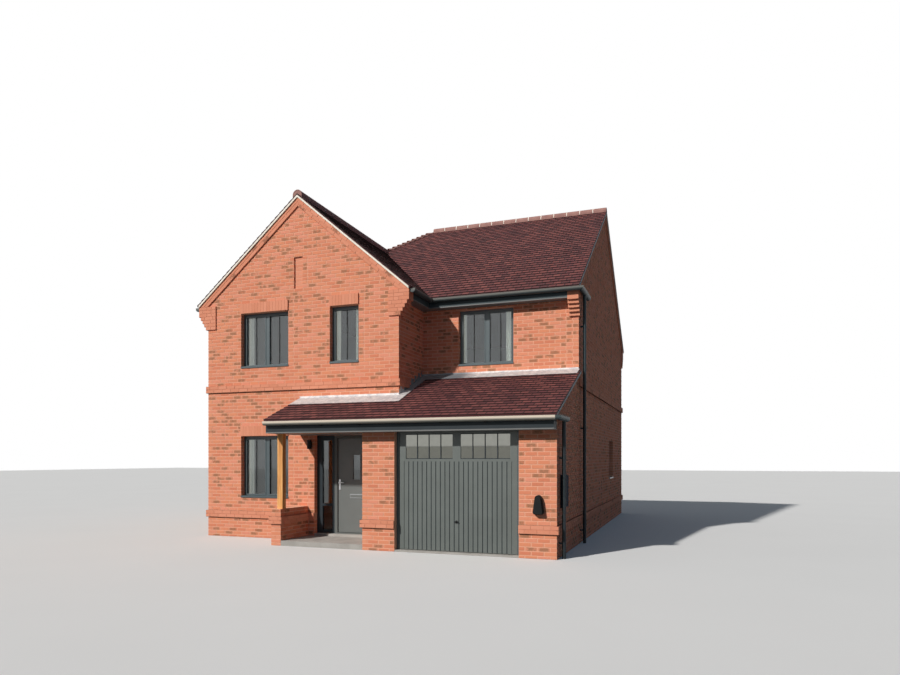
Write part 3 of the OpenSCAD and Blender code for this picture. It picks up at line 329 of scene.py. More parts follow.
def lead_finish(name):
    """Weathered lead sheet: mottled grey and white bloom, softly dressed. Beside the
    bay it is darkened, painted shade for the bay's shadow."""
    f = Finish(name, roughness=0.55, metallic=0.35)
    x, y, _ = f.split(f.place)
    # Painted shade: beside the bay the lead is darkened to slate blue for the bay's
    # shadow.
    painted_bay_shade = (x > X_GABLE - 0.02) * (y - Y_GABLE).step(0.2, 0.3)
    painted_bay_shade = painted_bay_shade * (1.0 - (x - X_GABLE).step(0.9, 1.3))
    cloud = f.noise(9.0, 5.0, 0.7)
    bloom = f.noise(34.0, 4.0, 0.7)
    body = f.mix(cloud.step(0.35, 0.65), rgb(182, 180, 182), rgb(218, 213, 210))
    body = f.mix(bloom.step(0.5, 0.75) * 0.5, body, rgb(240, 235, 231))
    body = f.mix(painted_bay_shade * 0.85, body, rgb(92, 100, 108))
    f.relief(cloud, 0.003)
    return f.paint(body, 0.5 + bloom * 0.2)


def steel_finish(name):
    """Satin steel, brushed along its length."""
    f = Finish(name, roughness=0.3, metallic=1.0)
    brush = f.noise(1.0, 2.0, 0.5, f.stretched(900.0, 900.0, 30.0))
    body = f.mix(brush, rgb(176, 178, 180), rgb(206, 208, 210))
    f.relief(brush, 0.0002)
    return f.paint(body, 0.25 + brush * 0.15)


def glass_finish(name, clear, first, second, rough):
    """Glazing with faint rain marks: clear, or obscured where it lets less through."""
    f = Finish(name, roughness=rough, transmission=clear, ior=1.52, coat=clear)
    rain = f.noise(5.0, 3.0).step(0.4, 0.8)
    # Painted reflection: obscured glass glows pale above the pane's middle height,
    # standing in for the sky it reflects, and faintly below it.
    if clear < 1.0:
        _, _, z = f.split(f.place)
        painted_sky_glow = z.step(PANE_MIDDLE - 0.02, PANE_MIDDLE + 0.02) * (0.8 + f.noise(12.0) * 0.3)
        f.feed(f.shader.inputs["Emission Color"],
               f.mix(painted_sky_glow, rgb(20, 20, 18), rgb(126, 126, 120)))
        f.feed(f.shader.inputs["Emission Strength"], 1.0)
    return f.paint(f.mix(rain * 0.3, first, second), rough + rain * 0.02)


def gutter_finish(name, colour, painted_highlight):
    """Moulded gutters: slate, glossy, with a painted highlight along the rim."""
    f = Finish(name, roughness=0.5, specular=0.3)
    x, _, z = f.split(f.place)
    # Painted highlight: a cream band under each gutter's top, faint on the main eaves
    # and full on the lean-to, for sunlight on the rim.
    rim = 0.0
    for top, share in ((GUTTER_TOP, 0.14), (LEAN_GUTTER_TOP, 1.0)):
        band = z.step(top - 0.065, top - 0.015) * (z < top + 0.005) * share
        rim = band.math("MAXIMUM", rim)
    # Painted light: the lean-to gutter's lower part is lightened to grey as if sunlit.
    low = (z > LEAN_GUTTER_TOP - 0.12) * (z < LEAN_GUTTER_TOP + 0.005)
    inside = (x > LEAN_LEFT + 0.02) * (x < X_VERGE - 0.01)
    rim = rim * ((z > HEAD + 1.0).math("MAXIMUM", inside))
    low = low * inside
    cloud = f.noise(2.2, 3.0)
    dust = f.noise(9.0, 4.0, 0.65).step(0.5, 0.85)
    body = f.mix(cloud.step(0.3, 0.7) * 0.35, colour, tuple(1.2 * c for c in colour))
    f.relief(f.noise(700.0, 1.0), 0.0003, 0.5)
    body = f.mix(low * 0.75, body, rgb(142, 143, 134))
    return f.paint(f.mix(rim, body, painted_highlight), 0.5 + dust * 0.12)


def cloth_finish(name):
    """Unbleached linen: a fine weave with slubs across it. It glows faintly in its
    own colour, painted light for the daylight in the room."""
    f = Finish(name, roughness=0.95, specular=0.1)
    warp = f.noise(1.0, 2.0, 0.5, f.stretched(900.0, 900.0, 40.0))
    weft = f.noise(1.0, 2.0, 0.5, f.stretched(30.0, 30.0, 900.0))
    body = f.mix(warp * 0.5 + weft * 0.5, rgb(214, 208, 192), rgb(238, 234, 222))
    f.relief(warp * 0.5 + weft * 0.5, 0.0006)
    # Painted light: the cloth glows in its own colour, though no lamp lights it.
    f.feed(f.shader.inputs["Emission Color"], body)
    f.feed(f.shader.inputs["Emission Strength"], 0.2)
    return f.paint(body)


# ---- Where the house stands ----

COURSE = 0.075
COURSE_BASE = 0.05
SOLDIER_H = 0.225

X_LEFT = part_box("front_wall_left")[0].x
X_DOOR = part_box("front_wall_left")[1].x
Y_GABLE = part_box("front_wall_left")[0].y
X_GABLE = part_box("gable_front_wall")[1].x
X_APEX = (X_LEFT + X_GABLE) / 2
X_GARAGE, Y_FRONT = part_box("garage_piers")[0].xy
X_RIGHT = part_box("garage_piers")[1].x
Y_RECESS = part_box("right_gable_wall")[0].y
Y_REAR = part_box("right_gable_wall")[1].y
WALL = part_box("left_wall")[1].x - X_LEFT
BAND_OUT = Y_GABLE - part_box("window_heads")[0].y
X_DOOR_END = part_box("front_wall_right")[0].x
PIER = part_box("garage_lintel")[0].x - X_GARAGE
PORCH_X0, PORCH_X1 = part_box("porch_wall")[0].x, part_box("porch_wall")[1].x
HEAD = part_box("front_wall_over_door")[0].z
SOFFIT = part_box("soffits")[1].z - 0.022
MID = WALL / 2
ROOMS = (
    ((X_LEFT + MID, Y_RECESS + MID), (X_RIGHT - MID, Y_REAR - MID)),
    ((X_LEFT + MID, Y_GABLE + MID), (X_GABLE - MID, Y_RECESS + WALL)),
    ((X_GARAGE + MID, Y_FRONT + MID), (X_RIGHT - MID, Y_RECESS + WALL)),
)

EAVES_Z = 5.185
LEAN_Z = 2.487
EAVES_OUT = 0.27
MAIN_PITCH, BAY_PITCH, LEAN_PITCH = (math.radians(a) for a in (34, 40, 22))
Y_RIDGE = (Y_RECESS + Y_REAR) / 2
RIDGE_Z = EAVES_Z + (Y_RIDGE - Y_RECESS + EAVES_OUT) * math.tan(MAIN_PITCH)
BAY_RIDGE_Z = EAVES_Z + (X_APEX - X_LEFT + EAVES_OUT) * math.tan(BAY_PITCH)
X_HIP = X_LEFT - EAVES_OUT + (RIDGE_Z - EAVES_Z) / math.tan(BAY_PITCH)
Y_MEET = Y_RECESS - EAVES_OUT + (BAY_RIDGE_Z - EAVES_Z) / math.tan(MAIN_PITCH)
X_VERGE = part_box("roof_front_slope")[1].x
Y_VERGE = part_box("roof_gable_slope")[0].y
LEAN_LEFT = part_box("lean_to_roof")[0].x
LEAN_EAVES_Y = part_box("lean_to_roof")[0].y
VERGE_DEPTH = 0.055


GUTTER_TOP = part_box("gutters")[1].z
X_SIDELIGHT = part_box("front_door")[0].x - 0.075
PANE_MIDDLE = (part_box("garage_door_glass")[0].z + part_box("garage_door_glass")[1].z) / 2
LEAN_GUTTER_TOP = LEAN_Z - (EAVES_Z - GUTTER_TOP)


def course_z(n):
    return COURSE_BASE + COURSE * n


# ---- Bricks and tiles: units laid on points by one geometry tree ----


def unit_tree():
    """Lays a block on each point, at the point's size and turn, with its own tint,
    and eases the arrises of the face that shows."""
    tree = bpy.data.node_groups.new("lay_units", "GeometryNodeTree")
    for name, way, kind in (
        ("Points", "INPUT", "Geometry"), ("Arris", "INPUT", "Float"),
        ("Unevenness", "INPUT", "Float"), ("Seed", "INPUT", "Int"),
        ("Finish", "INPUT", "Material"), ("Units", "OUTPUT", "Geometry"),
    ):
        tree.interface.new_socket(name, in_out=way, socket_type="NodeSocket" + kind)
    g = Graph(tree)
    given = g.add("NodeGroupInput").outputs

    def named(name):
        kind = {"data_type": "FLOAT_VECTOR"}
        return g.out(
            "GeometryNodeInputNamedAttribute", kind, {"Name": name}, "Attribute"
        )

    def store(geometry, name, kind, domain, stored):
        return g.out(
            "GeometryNodeStoreNamedAttribute",
            {"data_type": kind, "domain": domain},
            {"Geometry": geometry, "Name": name, "Value": stored},
        )

    def random(low, high, salt):
        node = g.add(
            "FunctionNodeRandomValue",
            {"data_type": "FLOAT"},
            {"Seed": g.math("ADD", given["Seed"], salt), 2: low, 3: high},
        )
        return g.value(node, 1)

    def combine(x, y, z):
        return g.out("ShaderNodeCombineXYZ", None, {0: x, 1: y, 2: z})

    def rotation(angles):
        return g.out("FunctionNodeEulerToRotation", None, {0: angles})

    cube = g.out("GeometryNodeMeshCube", None, {"Size": (1.0, 1.0, 1.0)}, "Mesh")
    here = g.out("GeometryNodeInputPosition")
    uneven = Value(g, given["Unevenness"])
    lean = combine(
        random(-1.0, 1.0, 3.0) * uneven,
        random(-1.0, 1.0, 4.0) * uneven * 0.3,
        random(-1.0, 1.0, 5.0) * uneven,
    )
    laid = g.out(
        "GeometryNodeInstanceOnPoints",
        None,
        {
            "Points": given["Points"],
            "Instance": store(cube, "corner", "FLOAT_VECTOR", "POINT", here),
            "Rotation": rotation(g.vector("ADD", named("turn"), lean)),
            "Scale": named("size"),
        },
    )
    laid = store(laid, "tint", "FLOAT", "INSTANCE", random(0.0, 1.0, 0.0))
    real = g.out("GeometryNodeRealizeInstances", None, {"Geometry": laid})

    corner = g.add("ShaderNodeSeparateXYZ", None, {0: named("corner")})
    x, y, z = (g.value(corner, i) for i in range(3))
    ease = (y < 0.0) * Value(g, given["Arris"]) * -2.0
    inward = combine(x * ease, 0.0, z * ease)
    offset = g.out(
        "FunctionNodeRotateVector",
        None,
        {"Vector": inward, "Rotation": rotation(named("turn"))},
    )
    last = g.out("GeometryNodeSetPosition", None, {"Geometry": real, "Offset": offset})
    for name in ("size", "turn"):
        last = g.out(
            "GeometryNodeRemoveAttribute", None, {"Geometry": last, "Name": name}
        )
    done = g.out(
        "GeometryNodeSetMaterial", None, {"Geometry": last, "Material": given["Finish"]}
    )
    g.add("NodeGroupOutput", None, {"Units": done})
    return tree


def piece(name, mesh, body, finish=None):
    """Puts a finished mesh in the scene as a piece that rides on a body."""
    obj = bpy.data.objects.new(name, mesh)
    scene.collection.objects.link(obj)
    if finish is not None:
        mesh.materials.clear()
        mesh.materials.append(finish)
    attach(obj, body)
    return obj


def run_tree(tree, mesh, inputs):
    """The plain mesh that a geometry tree makes of another mesh."""
    obj = bpy.data.objects.new("work", mesh)
    scene.collection.objects.link(obj)
    modifier = obj.modifiers.new("tree", "NODES")
    modifier.node_group = tree
    for item in tree.interface.items_tree:
        if item.in_out == "INPUT" and item.name in inputs:
            modifier[item.identifier] = inputs[item.name]
    graph = bpy.context.evaluated_depsgraph_get()
    made = bpy.data.meshes.new_from_object(obj.evaluated_get(graph), depsgraph=graph)
    obj.modifiers.clear()
    bpy.data.objects.remove(obj)
    return made


UNITS = unit_tree()


def lay(name, units, body, finish, arris, unevenness, seed, cuts=()):
    """Makes one piece of units, each (centre, size, turn), trimmed by planes."""
    mesh = bpy.data.meshes.new(name)
    mesh.from_pydata([u[0] for u in units], [], [])
    for column, label in ((1, "size"), (2, "turn")):
        layer = mesh.attributes.new(label, "FLOAT_VECTOR", "POINT")
        layer.data.foreach_set("vector", [c for u in units for c in u[column]])
    made = run_tree(
        UNITS,
        mesh,
        {"Arris": arris, "Unevenness": unevenness, "Seed": seed, "Finish": finish},
    )
    for point, away in cuts:
        bm = bmesh.new()
        bm.from_mesh(made)
        bmesh.ops.bisect_plane(
            bm,
            geom=bm.verts[:] + bm.edges[:] + bm.faces[:],
            plane_co=point,
            plane_no=away,
            clear_outer=True,
        )
        bmesh.ops.holes_fill(bm, edges=[e for e in bm.edges if e.is_boundary])
        bm.to_mesh(made)
        bm.free()
    made.name = name
    return piece(name, made, body)


BRICK_L, BRICK_H, BRICK_D, JOINT = 0.215, 0.065, 0.1025, 0.01
BRICK_OUT = 0.005
HALF = (BRICK_L + JOINT) / 2


def split(start, end, phase, length=BRICK_L, joint=JOINT, least=0.05):
    """The units of one course between start and end. A sliver shares with the next."""
    pitch = length + joint
    found = []
    k = math.floor((start - phase) / pitch)
    while phase + k * pitch < end:
        a = max(start, phase + k * pitch)
        b = min(end, phase + k * pitch + length)
        if b - a > joint / 2:
            found.append([a, b])
        k += 1
    for i, j in ((0, 1), (-1, -2)):
        if len(found) > 1 and found[i][1] - found[i][0] < least:
            a, b = min(found[i][0], found[j][0]), max(found[i][1], found[j][1])
            middle = (a + b) / 2
            halves = ([a, middle - joint / 2], [middle + joint / 2, b])
            found[i], found[j] = halves if i == 0 else halves[::-1]
    return found


def without(spans, a, b):
    """Spans less the stretch from a to b."""
    left = []
    for s, e in spans:
        if b <= s or a >= e:
            left.append((s, e))
            continue
        if s < a:
            left.append((s, a))
        if b < e:
            left.append((b, e))
    return left


class Face:
    """The face of a wall. u runs to the right along it as seen from outside."""

    def __init__(self, x, y, turn):
        self.turn = math.radians(turn)
        self.start = Vector((x, y, 0.0))
        self.along = Vector((math.cos(self.turn), math.sin(self.turn), 0.0))
        self.out = Vector((math.sin(self.turn), -math.cos(self.turn), 0.0))

    def brick(self, a, b, z0, z1, out, depth=BRICK_D):
        middle = self.start + self.along * (a + b) / 2
        middle += self.out * (out + BRICK_OUT - (depth + BRICK_OUT) / 2)
        middle.z = (z0 + z1) / 2
        return middle, (b - a, depth + BRICK_OUT, z1 - z0), (0.0, 0.0, self.turn)


END_OUT = 0.003


def brickwork(
    face, length, low, high, bond, corners=(False, False), holes=(), limit=None,
    out=0.0, depth=BRICK_D, skip=(),
):
    """Stretcher bond on a face between two heights. In every other course a corner
    shows the end of the other face's brick, so this face leaves it out."""
    found = []
    n = math.floor((low - COURSE_BASE) / COURSE + 1e-6)
    while course_z(n) < high - JOINT:
        z0 = max(course_z(n) + JOINT / 2, low)
        z1 = min(course_z(n + 1) - JOINT / 2, high)
        header = (n + bond) % 2 == 1
        start, end = 0.0, length
        if header:
            start += (BRICK_D + JOINT) * corners[0]
            end -= (BRICK_D + JOINT) * corners[1]
        if limit:
            first, last = limit(z1)
            start, end = max(start, first), min(end, last)
        spans = [(start, end)] if end - start > 2 * JOINT and n not in skip else []
        for a, b, bottom, top in holes:
            if z0 < top - JOINT and z1 > bottom + JOINT:
                spans = without(spans, a, b)
        for a, b in spans:
            at_hole = [h[:2] for h in holes if z0 < h[3] - JOINT and z1 > h[2] + JOINT]
            for c, d in split(a, b, -HALF if header else 0.0):
                if corners[0] and abs(c) < 1e-4:
                    c -= BRICK_OUT
                if corners[1] and abs(d - length) < 1e-4:
                    d += BRICK_OUT
                if any(abs(d - h[0]) < 1e-4 for h in at_hole):
                    d += END_OUT
                if any(abs(c - h[1]) < 1e-4 for h in at_hole):
                    c -= END_OUT
                found.append(face.brick(c, d, z0, z1, out, depth))
        n += 1
    return found


HEAD_JOINT = 0.001
ARRIS, BAND_ARRIS, BRICK_UNEVEN, BAND_UNEVEN = 0.003, 0.0012, 0.004, 0.003


def soldiers(face, a, b, low, high, out):
    """Upright bricks side by side over an opening."""
    count = round((b - a) / COURSE)
    step = (b - a) / count
    return [
        face.brick(
            a + i * step + HEAD_JOINT / 2, a + (i + 1) * step - HEAD_JOINT / 2,
            low + JOINT / 2, high - JOINT / 2, out,
        )
        for i in range(count)
    ]


def raking(face, foot, top, rows, out):
    """Bricks laid along a line that climbs from foot to top, each (u, z)."""
    (u0, z0), (u1, z1) = foot, top
    run = math.hypot(u1 - u0, z1 - z0)
    slope = math.atan2(z1 - z0, u1 - u0)
    found = []
    for row in range(rows):
        drop = COURSE * (row + 0.5)
        for a, b in split(0.0, run, -HALF * (row % 2)):
            m = (a + b) / 2
            side = 1 if u1 > u0 else -1
            u = u0 + m * math.cos(slope) + side * drop * math.sin(slope)
            z = z0 + m * math.sin(slope) - side * drop * math.cos(slope)
            depth = 0.03
            middle = face.start + face.along * u
            middle += face.out * (out + BRICK_OUT - depth / 2)
            middle.z = z
            turned = Euler((0, 0, face.turn)).to_matrix() @ Matrix.Rotation(
                -slope, 3, "Y"
            )
            found.append((middle, (b - a, depth, BRICK_H), tuple(turned.to_euler())))
    return found


def window_span(x, width):
    return x - width / 2, x + width / 2


WIDE, NARROW, SIDE = 1.22, 0.68, 0.91
WIDE_X, NARROW_X, RECESS_X = -2.56, -0.595, 2.085
SIDE_Y = 2.525
SILLS = {"ground": course_z(11), "upper": course_z(49), "side": course_z(15)}
UPPER_HEAD = course_z(65)
SLOT_N = (71, 80)
SLOT = (X_APEX - BRICK_L / 2, X_APEX + BRICK_L / 2, *map(course_z, SLOT_N))
SLOT_DEEP = 0.035
PLINTH, STOREY = (5, 6), (42, 43)
KNEELER_N, KNEELER_COURSES = 61, 7
FASCIA_OUT = 0.235
UPSTAND, STEP_LEAD = 0.056, 0.095
BAND_MORE = 0.009
APRON, REAR_APRON, SIDE_LEAD = 0.4, 0.3, 0.18

LEAN_BAY_Z = LEAN_Z + (Y_GABLE - LEAN_EAVES_Y) * math.tan(LEAN_PITCH)
LEAN_TOP_Z = LEAN_Z + (Y_RECESS - LEAN_EAVES_Y) * math.tan(LEAN_PITCH)

front = Face(X_LEFT, Y_GABLE, 0)
bay_return = Face(X_GABLE, Y_GABLE, 90)
recess = Face(X_GABLE, Y_RECESS, 0)
garage_left = Face(X_GARAGE, Y_GABLE, -90)
pier_left = Face(X_GARAGE, Y_FRONT, 0)
pier_right = Face(X_RIGHT - PIER, Y_FRONT, 0)
garage_right = Face(X_RIGHT, Y_FRONT, 90)
right = Face(X_RIGHT, Y_RECESS, 90)
rear = Face(X_RIGHT, Y_REAR, 180)
left = Face(X_LEFT, Y_REAR, -90)
porch_left = Face(PORCH_X0, Y_GABLE, -90)
porch_front = Face(PORCH_X0, Y_FRONT, 0)
porch_right = Face(PORCH_X1, Y_FRONT, 90)


def holes_from(origin, sign, *openings):
    """Openings given by world coordinates, as spans along a face."""
    return [
        tuple(sorted((sign * (a - origin), sign * (b - origin)))) + (z0, z1)
        for a, b, z0, z1 in openings
    ]


def kneeler_inset(z):
    """How far in from a corner the plain brickwork starts, beside a kneeler."""
    beside = course_z(KNEELER_N) + JOINT < z < course_z(KNEELER_N + KNEELER_COURSES)
    return BRICK_L if beside else 0.0


RAKE_H = 0.1
PORCH_WALL_TOP = 0.728


def gable_limit(z, pitch, length):
    """The plain brickwork of a gable at a height, between its kneelers and the
    raking courses under its verges."""
    below = (VERGE_DEPTH + RAKE_H) / math.cos(pitch)
    inset = -EAVES_OUT + (z - EAVES_Z + below) / math.tan(pitch)
    inset = max(inset, kneeler_inset(z))
    return inset, length - inset


def lay_front():
    lead_top = LEAN_BAY_Z + UPSTAND
    openings = holes_from(
        X_LEFT, 1,
        (*window_span(WIDE_X, WIDE), SILLS["ground"], HEAD + SOLDIER_H),
        (*window_span(WIDE_X, WIDE), SILLS["upper"], UPPER_HEAD + SOLDIER_H),
        (*window_span(NARROW_X, NARROW), SILLS["upper"], UPPER_HEAD + SOLDIER_H),
        (X_DOOR, X_DOOR_END, -1.0, HEAD),
        (X_GARAGE, X_GABLE + 0.1, -1.0, lead_top),
        (LEAN_LEFT + 0.02, X_GARAGE, HEAD, lead_top),
        SLOT,
    )
    width = X_GABLE - X_LEFT
    return brickwork(
        front, width, 0.0, BAY_RIDGE_Z, 0, (True, True), openings,
        lambda z: gable_limit(z, BAY_PITCH, width), skip=PLINTH + STOREY,
    )


def lay_walls():
    """Every run of plain brick, by the piece that it makes."""
    recess_w = X_RIGHT - X_GABLE
    deep = Y_REAR - Y_RECESS
    whole = Y_REAR - Y_FRONT

    def lean_limit(z):
        inset = (z - LEAN_Z + 0.06) / math.tan(LEAN_PITCH) - (Y_FRONT - LEAN_EAVES_Y)
        return max(0.0, inset), whole

    def lead_limit(z):
        """Where the brickwork starts above the stepped lead on the bay's side."""
        foot = math.ceil((z - COURSE_BASE) / COURSE) - 1
        rise = course_z(foot) - STEP_LEAD - LEAN_BAY_Z
        reach = (rise + COURSE) / math.tan(LEAN_PITCH)
        return 0.0, min(Y_RECESS - Y_GABLE, max(0.0, reach))

    side_hole = (SIDE_Y - SIDE / 2, SIDE_Y + SIDE / 2, SILLS["side"], HEAD)
    rear_holes = holes_from(
        X_RIGHT, -1,
        *(
            (*window_span(x, WIDE), SILLS[floor], head)
            for x in (WIDE_X, RECESS_X)
            for floor, head in (("ground", HEAD), ("upper", UPPER_HEAD))
        ),
    )
    side_bricks = brickwork(
        garage_right, whole, 0.0, course_z(46), 1, (True, True),
        holes_from(Y_FRONT, 1, side_hole), lean_limit, skip=PLINTH,
    )
    side_bricks += brickwork(
        right, deep, course_z(46), RIDGE_Z, 1, (True, True), (),
        lambda z: gable_limit(z, MAIN_PITCH, deep),
    )
    porch = []
    for face, length, corners, bond in (
        (porch_left, Y_GABLE - Y_FRONT, (False, True), 1),
        (porch_front, PORCH_X1 - PORCH_X0, (True, True), 0),
        (porch_right, Y_GABLE - Y_FRONT, (True, False), 1),
    ):
        porch += brickwork(
            face, length, 0.0, PORCH_WALL_TOP, bond, corners, skip=PLINTH
        )
    return {
        "bricks_front": lay_front(),
        "bricks_bay_side": brickwork(
            bay_return, Y_RECESS - Y_GABLE, course_z(39), SOFFIT, 1, (True, False),
            (), lead_limit,
        ),
        "bricks_recess": brickwork(
            recess, recess_w, course_z(47), SOFFIT, 0, (False, True),
            holes_from(
                X_GABLE, 1, (*window_span(RECESS_X, WIDE), SILLS["upper"], UPPER_HEAD)
            ),
        ),
        "bricks_garage": (
            brickwork(pier_left, PIER, 0.0, HEAD, 0, (True, False), skip=PLINTH)
            + brickwork(pier_right, PIER, 0.0, HEAD, 0, (False, True), skip=PLINTH)
            + brickwork(
                garage_left, Y_GABLE - Y_FRONT, 0.0, HEAD, 1, (False, True), skip=PLINTH
            )
        ),
        "bricks_right": side_bricks,
        "bricks_rear": brickwork(
            rear, X_RIGHT - X_LEFT, 0.0, SOFFIT, 0, (True, True), rear_holes,
            skip=PLINTH + STOREY,
        ),
        "bricks_left": brickwork(
            left, Y_REAR - Y_GABLE, 0.0, SOFFIT, 1, (True, True),
            skip=PLINTH + STOREY,
        ),
        "bricks_porch": porch,
    }


BAND_DEPTH, BED_DEPTH, BED_IN = 0.06, 0.03, 0.001


def lay_bands():
    """Bricks of the projecting bands, heads and kneelers, and the beds of mortar
    that the bands' bricks stand in."""
    found, beds = [], []
    plinth = (course_z(5), course_z(7))
    storey = (course_z(42), course_z(44))
    out = BAND_OUT + BAND_MORE
    runs = [
        (Face(X_LEFT - out, Y_GABLE, 0), PORCH_X0 - X_LEFT + out, plinth),
        (Face(PORCH_X1, Y_GABLE, 0), X_DOOR - PORCH_X1, plinth),
        (Face(X_DOOR_END, Y_GABLE, 0), X_GARAGE - X_DOOR_END, plinth),
        (Face(X_GARAGE, Y_GABLE, -90), Y_GABLE - Y_FRONT + out, plinth),
        (Face(X_GARAGE - out, Y_FRONT, 0), PIER + out, plinth),
        (Face(X_RIGHT - PIER, Y_FRONT, 0), PIER + out, plinth),
        (Face(X_RIGHT, Y_FRONT - out, 90), Y_REAR - Y_FRONT + 2 * out, plinth),
        (Face(X_RIGHT + out, Y_REAR, 180), X_RIGHT - X_LEFT + 2 * out, plinth),
        (Face(X_LEFT, Y_REAR + out, -90), Y_REAR - Y_GABLE + 2 * out, plinth),
        (Face(PORCH_X0, Y_GABLE, -90), Y_GABLE - Y_FRONT + out, plinth),
        (Face(PORCH_X0 - out, Y_FRONT, 0), BRICK_L + 2 * out, plinth),
        (Face(PORCH_X1, Y_FRONT - out, 90), Y_GABLE - Y_FRONT, plinth),
        (Face(X_LEFT - out, Y_GABLE, 0), X_GABLE - X_LEFT + 2 * out, storey),
        (Face(X_GABLE, Y_GABLE - out, 90), 0.5, storey),
        (Face(X_RIGHT, Y_RECESS, 90), Y_REAR - Y_RECESS + out, storey),
        (Face(X_RIGHT + out, Y_REAR, 180), X_RIGHT - X_LEFT + 2 * out, storey),
        (Face(X_LEFT, Y_REAR + out, -90), Y_REAR - Y_GABLE + 2 * out, storey),
    ]
    for face, length, (low, high) in runs:
        found += brickwork(face, length, low, high, 0, out=out, depth=BAND_DEPTH)
        beds.append(
            face.brick(
                BED_IN, length - BED_IN, low, high, out - BRICK_OUT - BED_IN, BED_DEPTH
            )
        )
    for x, width, low in (
        (WIDE_X, WIDE, HEAD), (WIDE_X, WIDE, UPPER_HEAD), (NARROW_X, NARROW, UPPER_HEAD)
    ):
        a, b = (v - X_LEFT for v in window_span(x, width))
        found += soldiers(front, a, b, low, low + SOLDIER_H, BAND_OUT)
    slot = holes_from(X_LEFT, 1, SLOT)[0]
    for n in range(*SLOT_N):
        z0, z1 = course_z(n) + JOINT / 2, course_z(n + 1) - JOINT / 2
        found.append(front.brick(slot[0], slot[1], z0, z1, -SLOT_DEEP - 0.002))
    return found + lay_kneelers(), beds


KNEELER_STEP = FASCIA_OUT / 5


def lay_kneelers():
    """The courses of a kneeler: five step out, the rest stand over the fifth."""
    found = []
    deep = BRICK_L + END_OUT
    for face, length in ((front, X_GABLE - X_LEFT), (right, Y_REAR - Y_RECESS)):
        for i in range(KNEELER_COURSES):
            n = KNEELER_N + i
            z0, z1 = course_z(n) + JOINT / 2, course_z(n + 1) - JOINT / 2
            start = -KNEELER_STEP * min(5, i + 1) - END_OUT
            phase = start - HALF * (i % 2)
            for a, b in split(start, BRICK_L + END_OUT, phase):
                found.append(face.brick(a, b, z0, z1, BAND_OUT, deep))
                found.append(face.brick(length - b, length - a, z0, z1, BAND_OUT, deep))
    return found


def lay_raking(name, face, length, pitch, side, finish, seed):
    """The two brick courses that climb one side of a gable, cut off upright at its
    apex and level on its kneeler."""
    depth = VERGE_DEPTH / math.cos(pitch)
    ends = []
    for inset in (-FASCIA_OUT, length / 2 + 0.1):
        z = EAVES_Z - depth + (inset + EAVES_OUT) * math.tan(pitch)
        ends.append((inset if side > 0 else length - inset, z))
    apex = face.start + face.along * length / 2
    kneeler = Vector((0.0, 0.0, course_z(KNEELER_N + KNEELER_COURSES)))
    lay(
        name, raking(face, *ends, 2, BAND_OUT), "root", finish,
        ARRIS, BAND_UNEVEN, seed,
        [(apex, face.along * side), (kneeler, Vector((0.0, 0.0, -1.0)))],
    )


TILE_W, TILE_GAUGE, TILE_T, TILE_GAP = 0.165, 0.15, 0.012, 0.003
TILE_TOP = 0.016
TILE_TILT = math.atan2(TILE_TOP - 0.003, TILE_GAUGE)


def tiles(edge, along, up, length, rise, spans=None):
    """Rows of plain tiles from an eaves edge. edge is where u is 0; rise is how far
    up the slope the rows go; spans narrows a row, given how far up it lies."""
    along, up = Vector(along), Vector(up).normalized()
    normal = along.cross(up)
    tipped = Matrix.Rotation(-TILE_TILT, 3, along)
    axes = Matrix((along, tipped @ up, tipped @ normal)).transposed()
    turn = tuple(axes.to_euler())
    tile_l = TILE_GAUGE + 0.012
    found = []
    for row in range(math.ceil(rise / TILE_GAUGE)):
        at = row * TILE_GAUGE
        a0, b0 = spans(at) if spans else (0.0, length)
        phase = -(TILE_W + TILE_GAP) / 2 * (row % 2)
        for a, b in split(a0, b0, phase, TILE_W, TILE_GAP, 0.04):
            tail = Vector(edge) + along * (a + b) / 2 + up * at + normal * TILE_TOP
            centre = tail + axes @ Vector((0.0, tile_l / 2, -TILE_T / 2))
            found.append((centre, (b - a, tile_l, TILE_T), turn))
    return found


def away_from(inside, start, end):
    """An upright plane through two plan points, facing away from a third."""
    run = Vector((end[0] - start[0], end[1] - start[1], 0.0))
    normal = Vector((run.y, -run.x, 0.0)).normalized()
    point = Vector((start[0], start[1], 0.0))
    if normal.dot(Vector((inside[0], inside[1], 0.0)) - point) > 0:
        normal = -normal
    return point, normal


TILE_UNEVEN = 0.006
LAP_OVER = 0.2


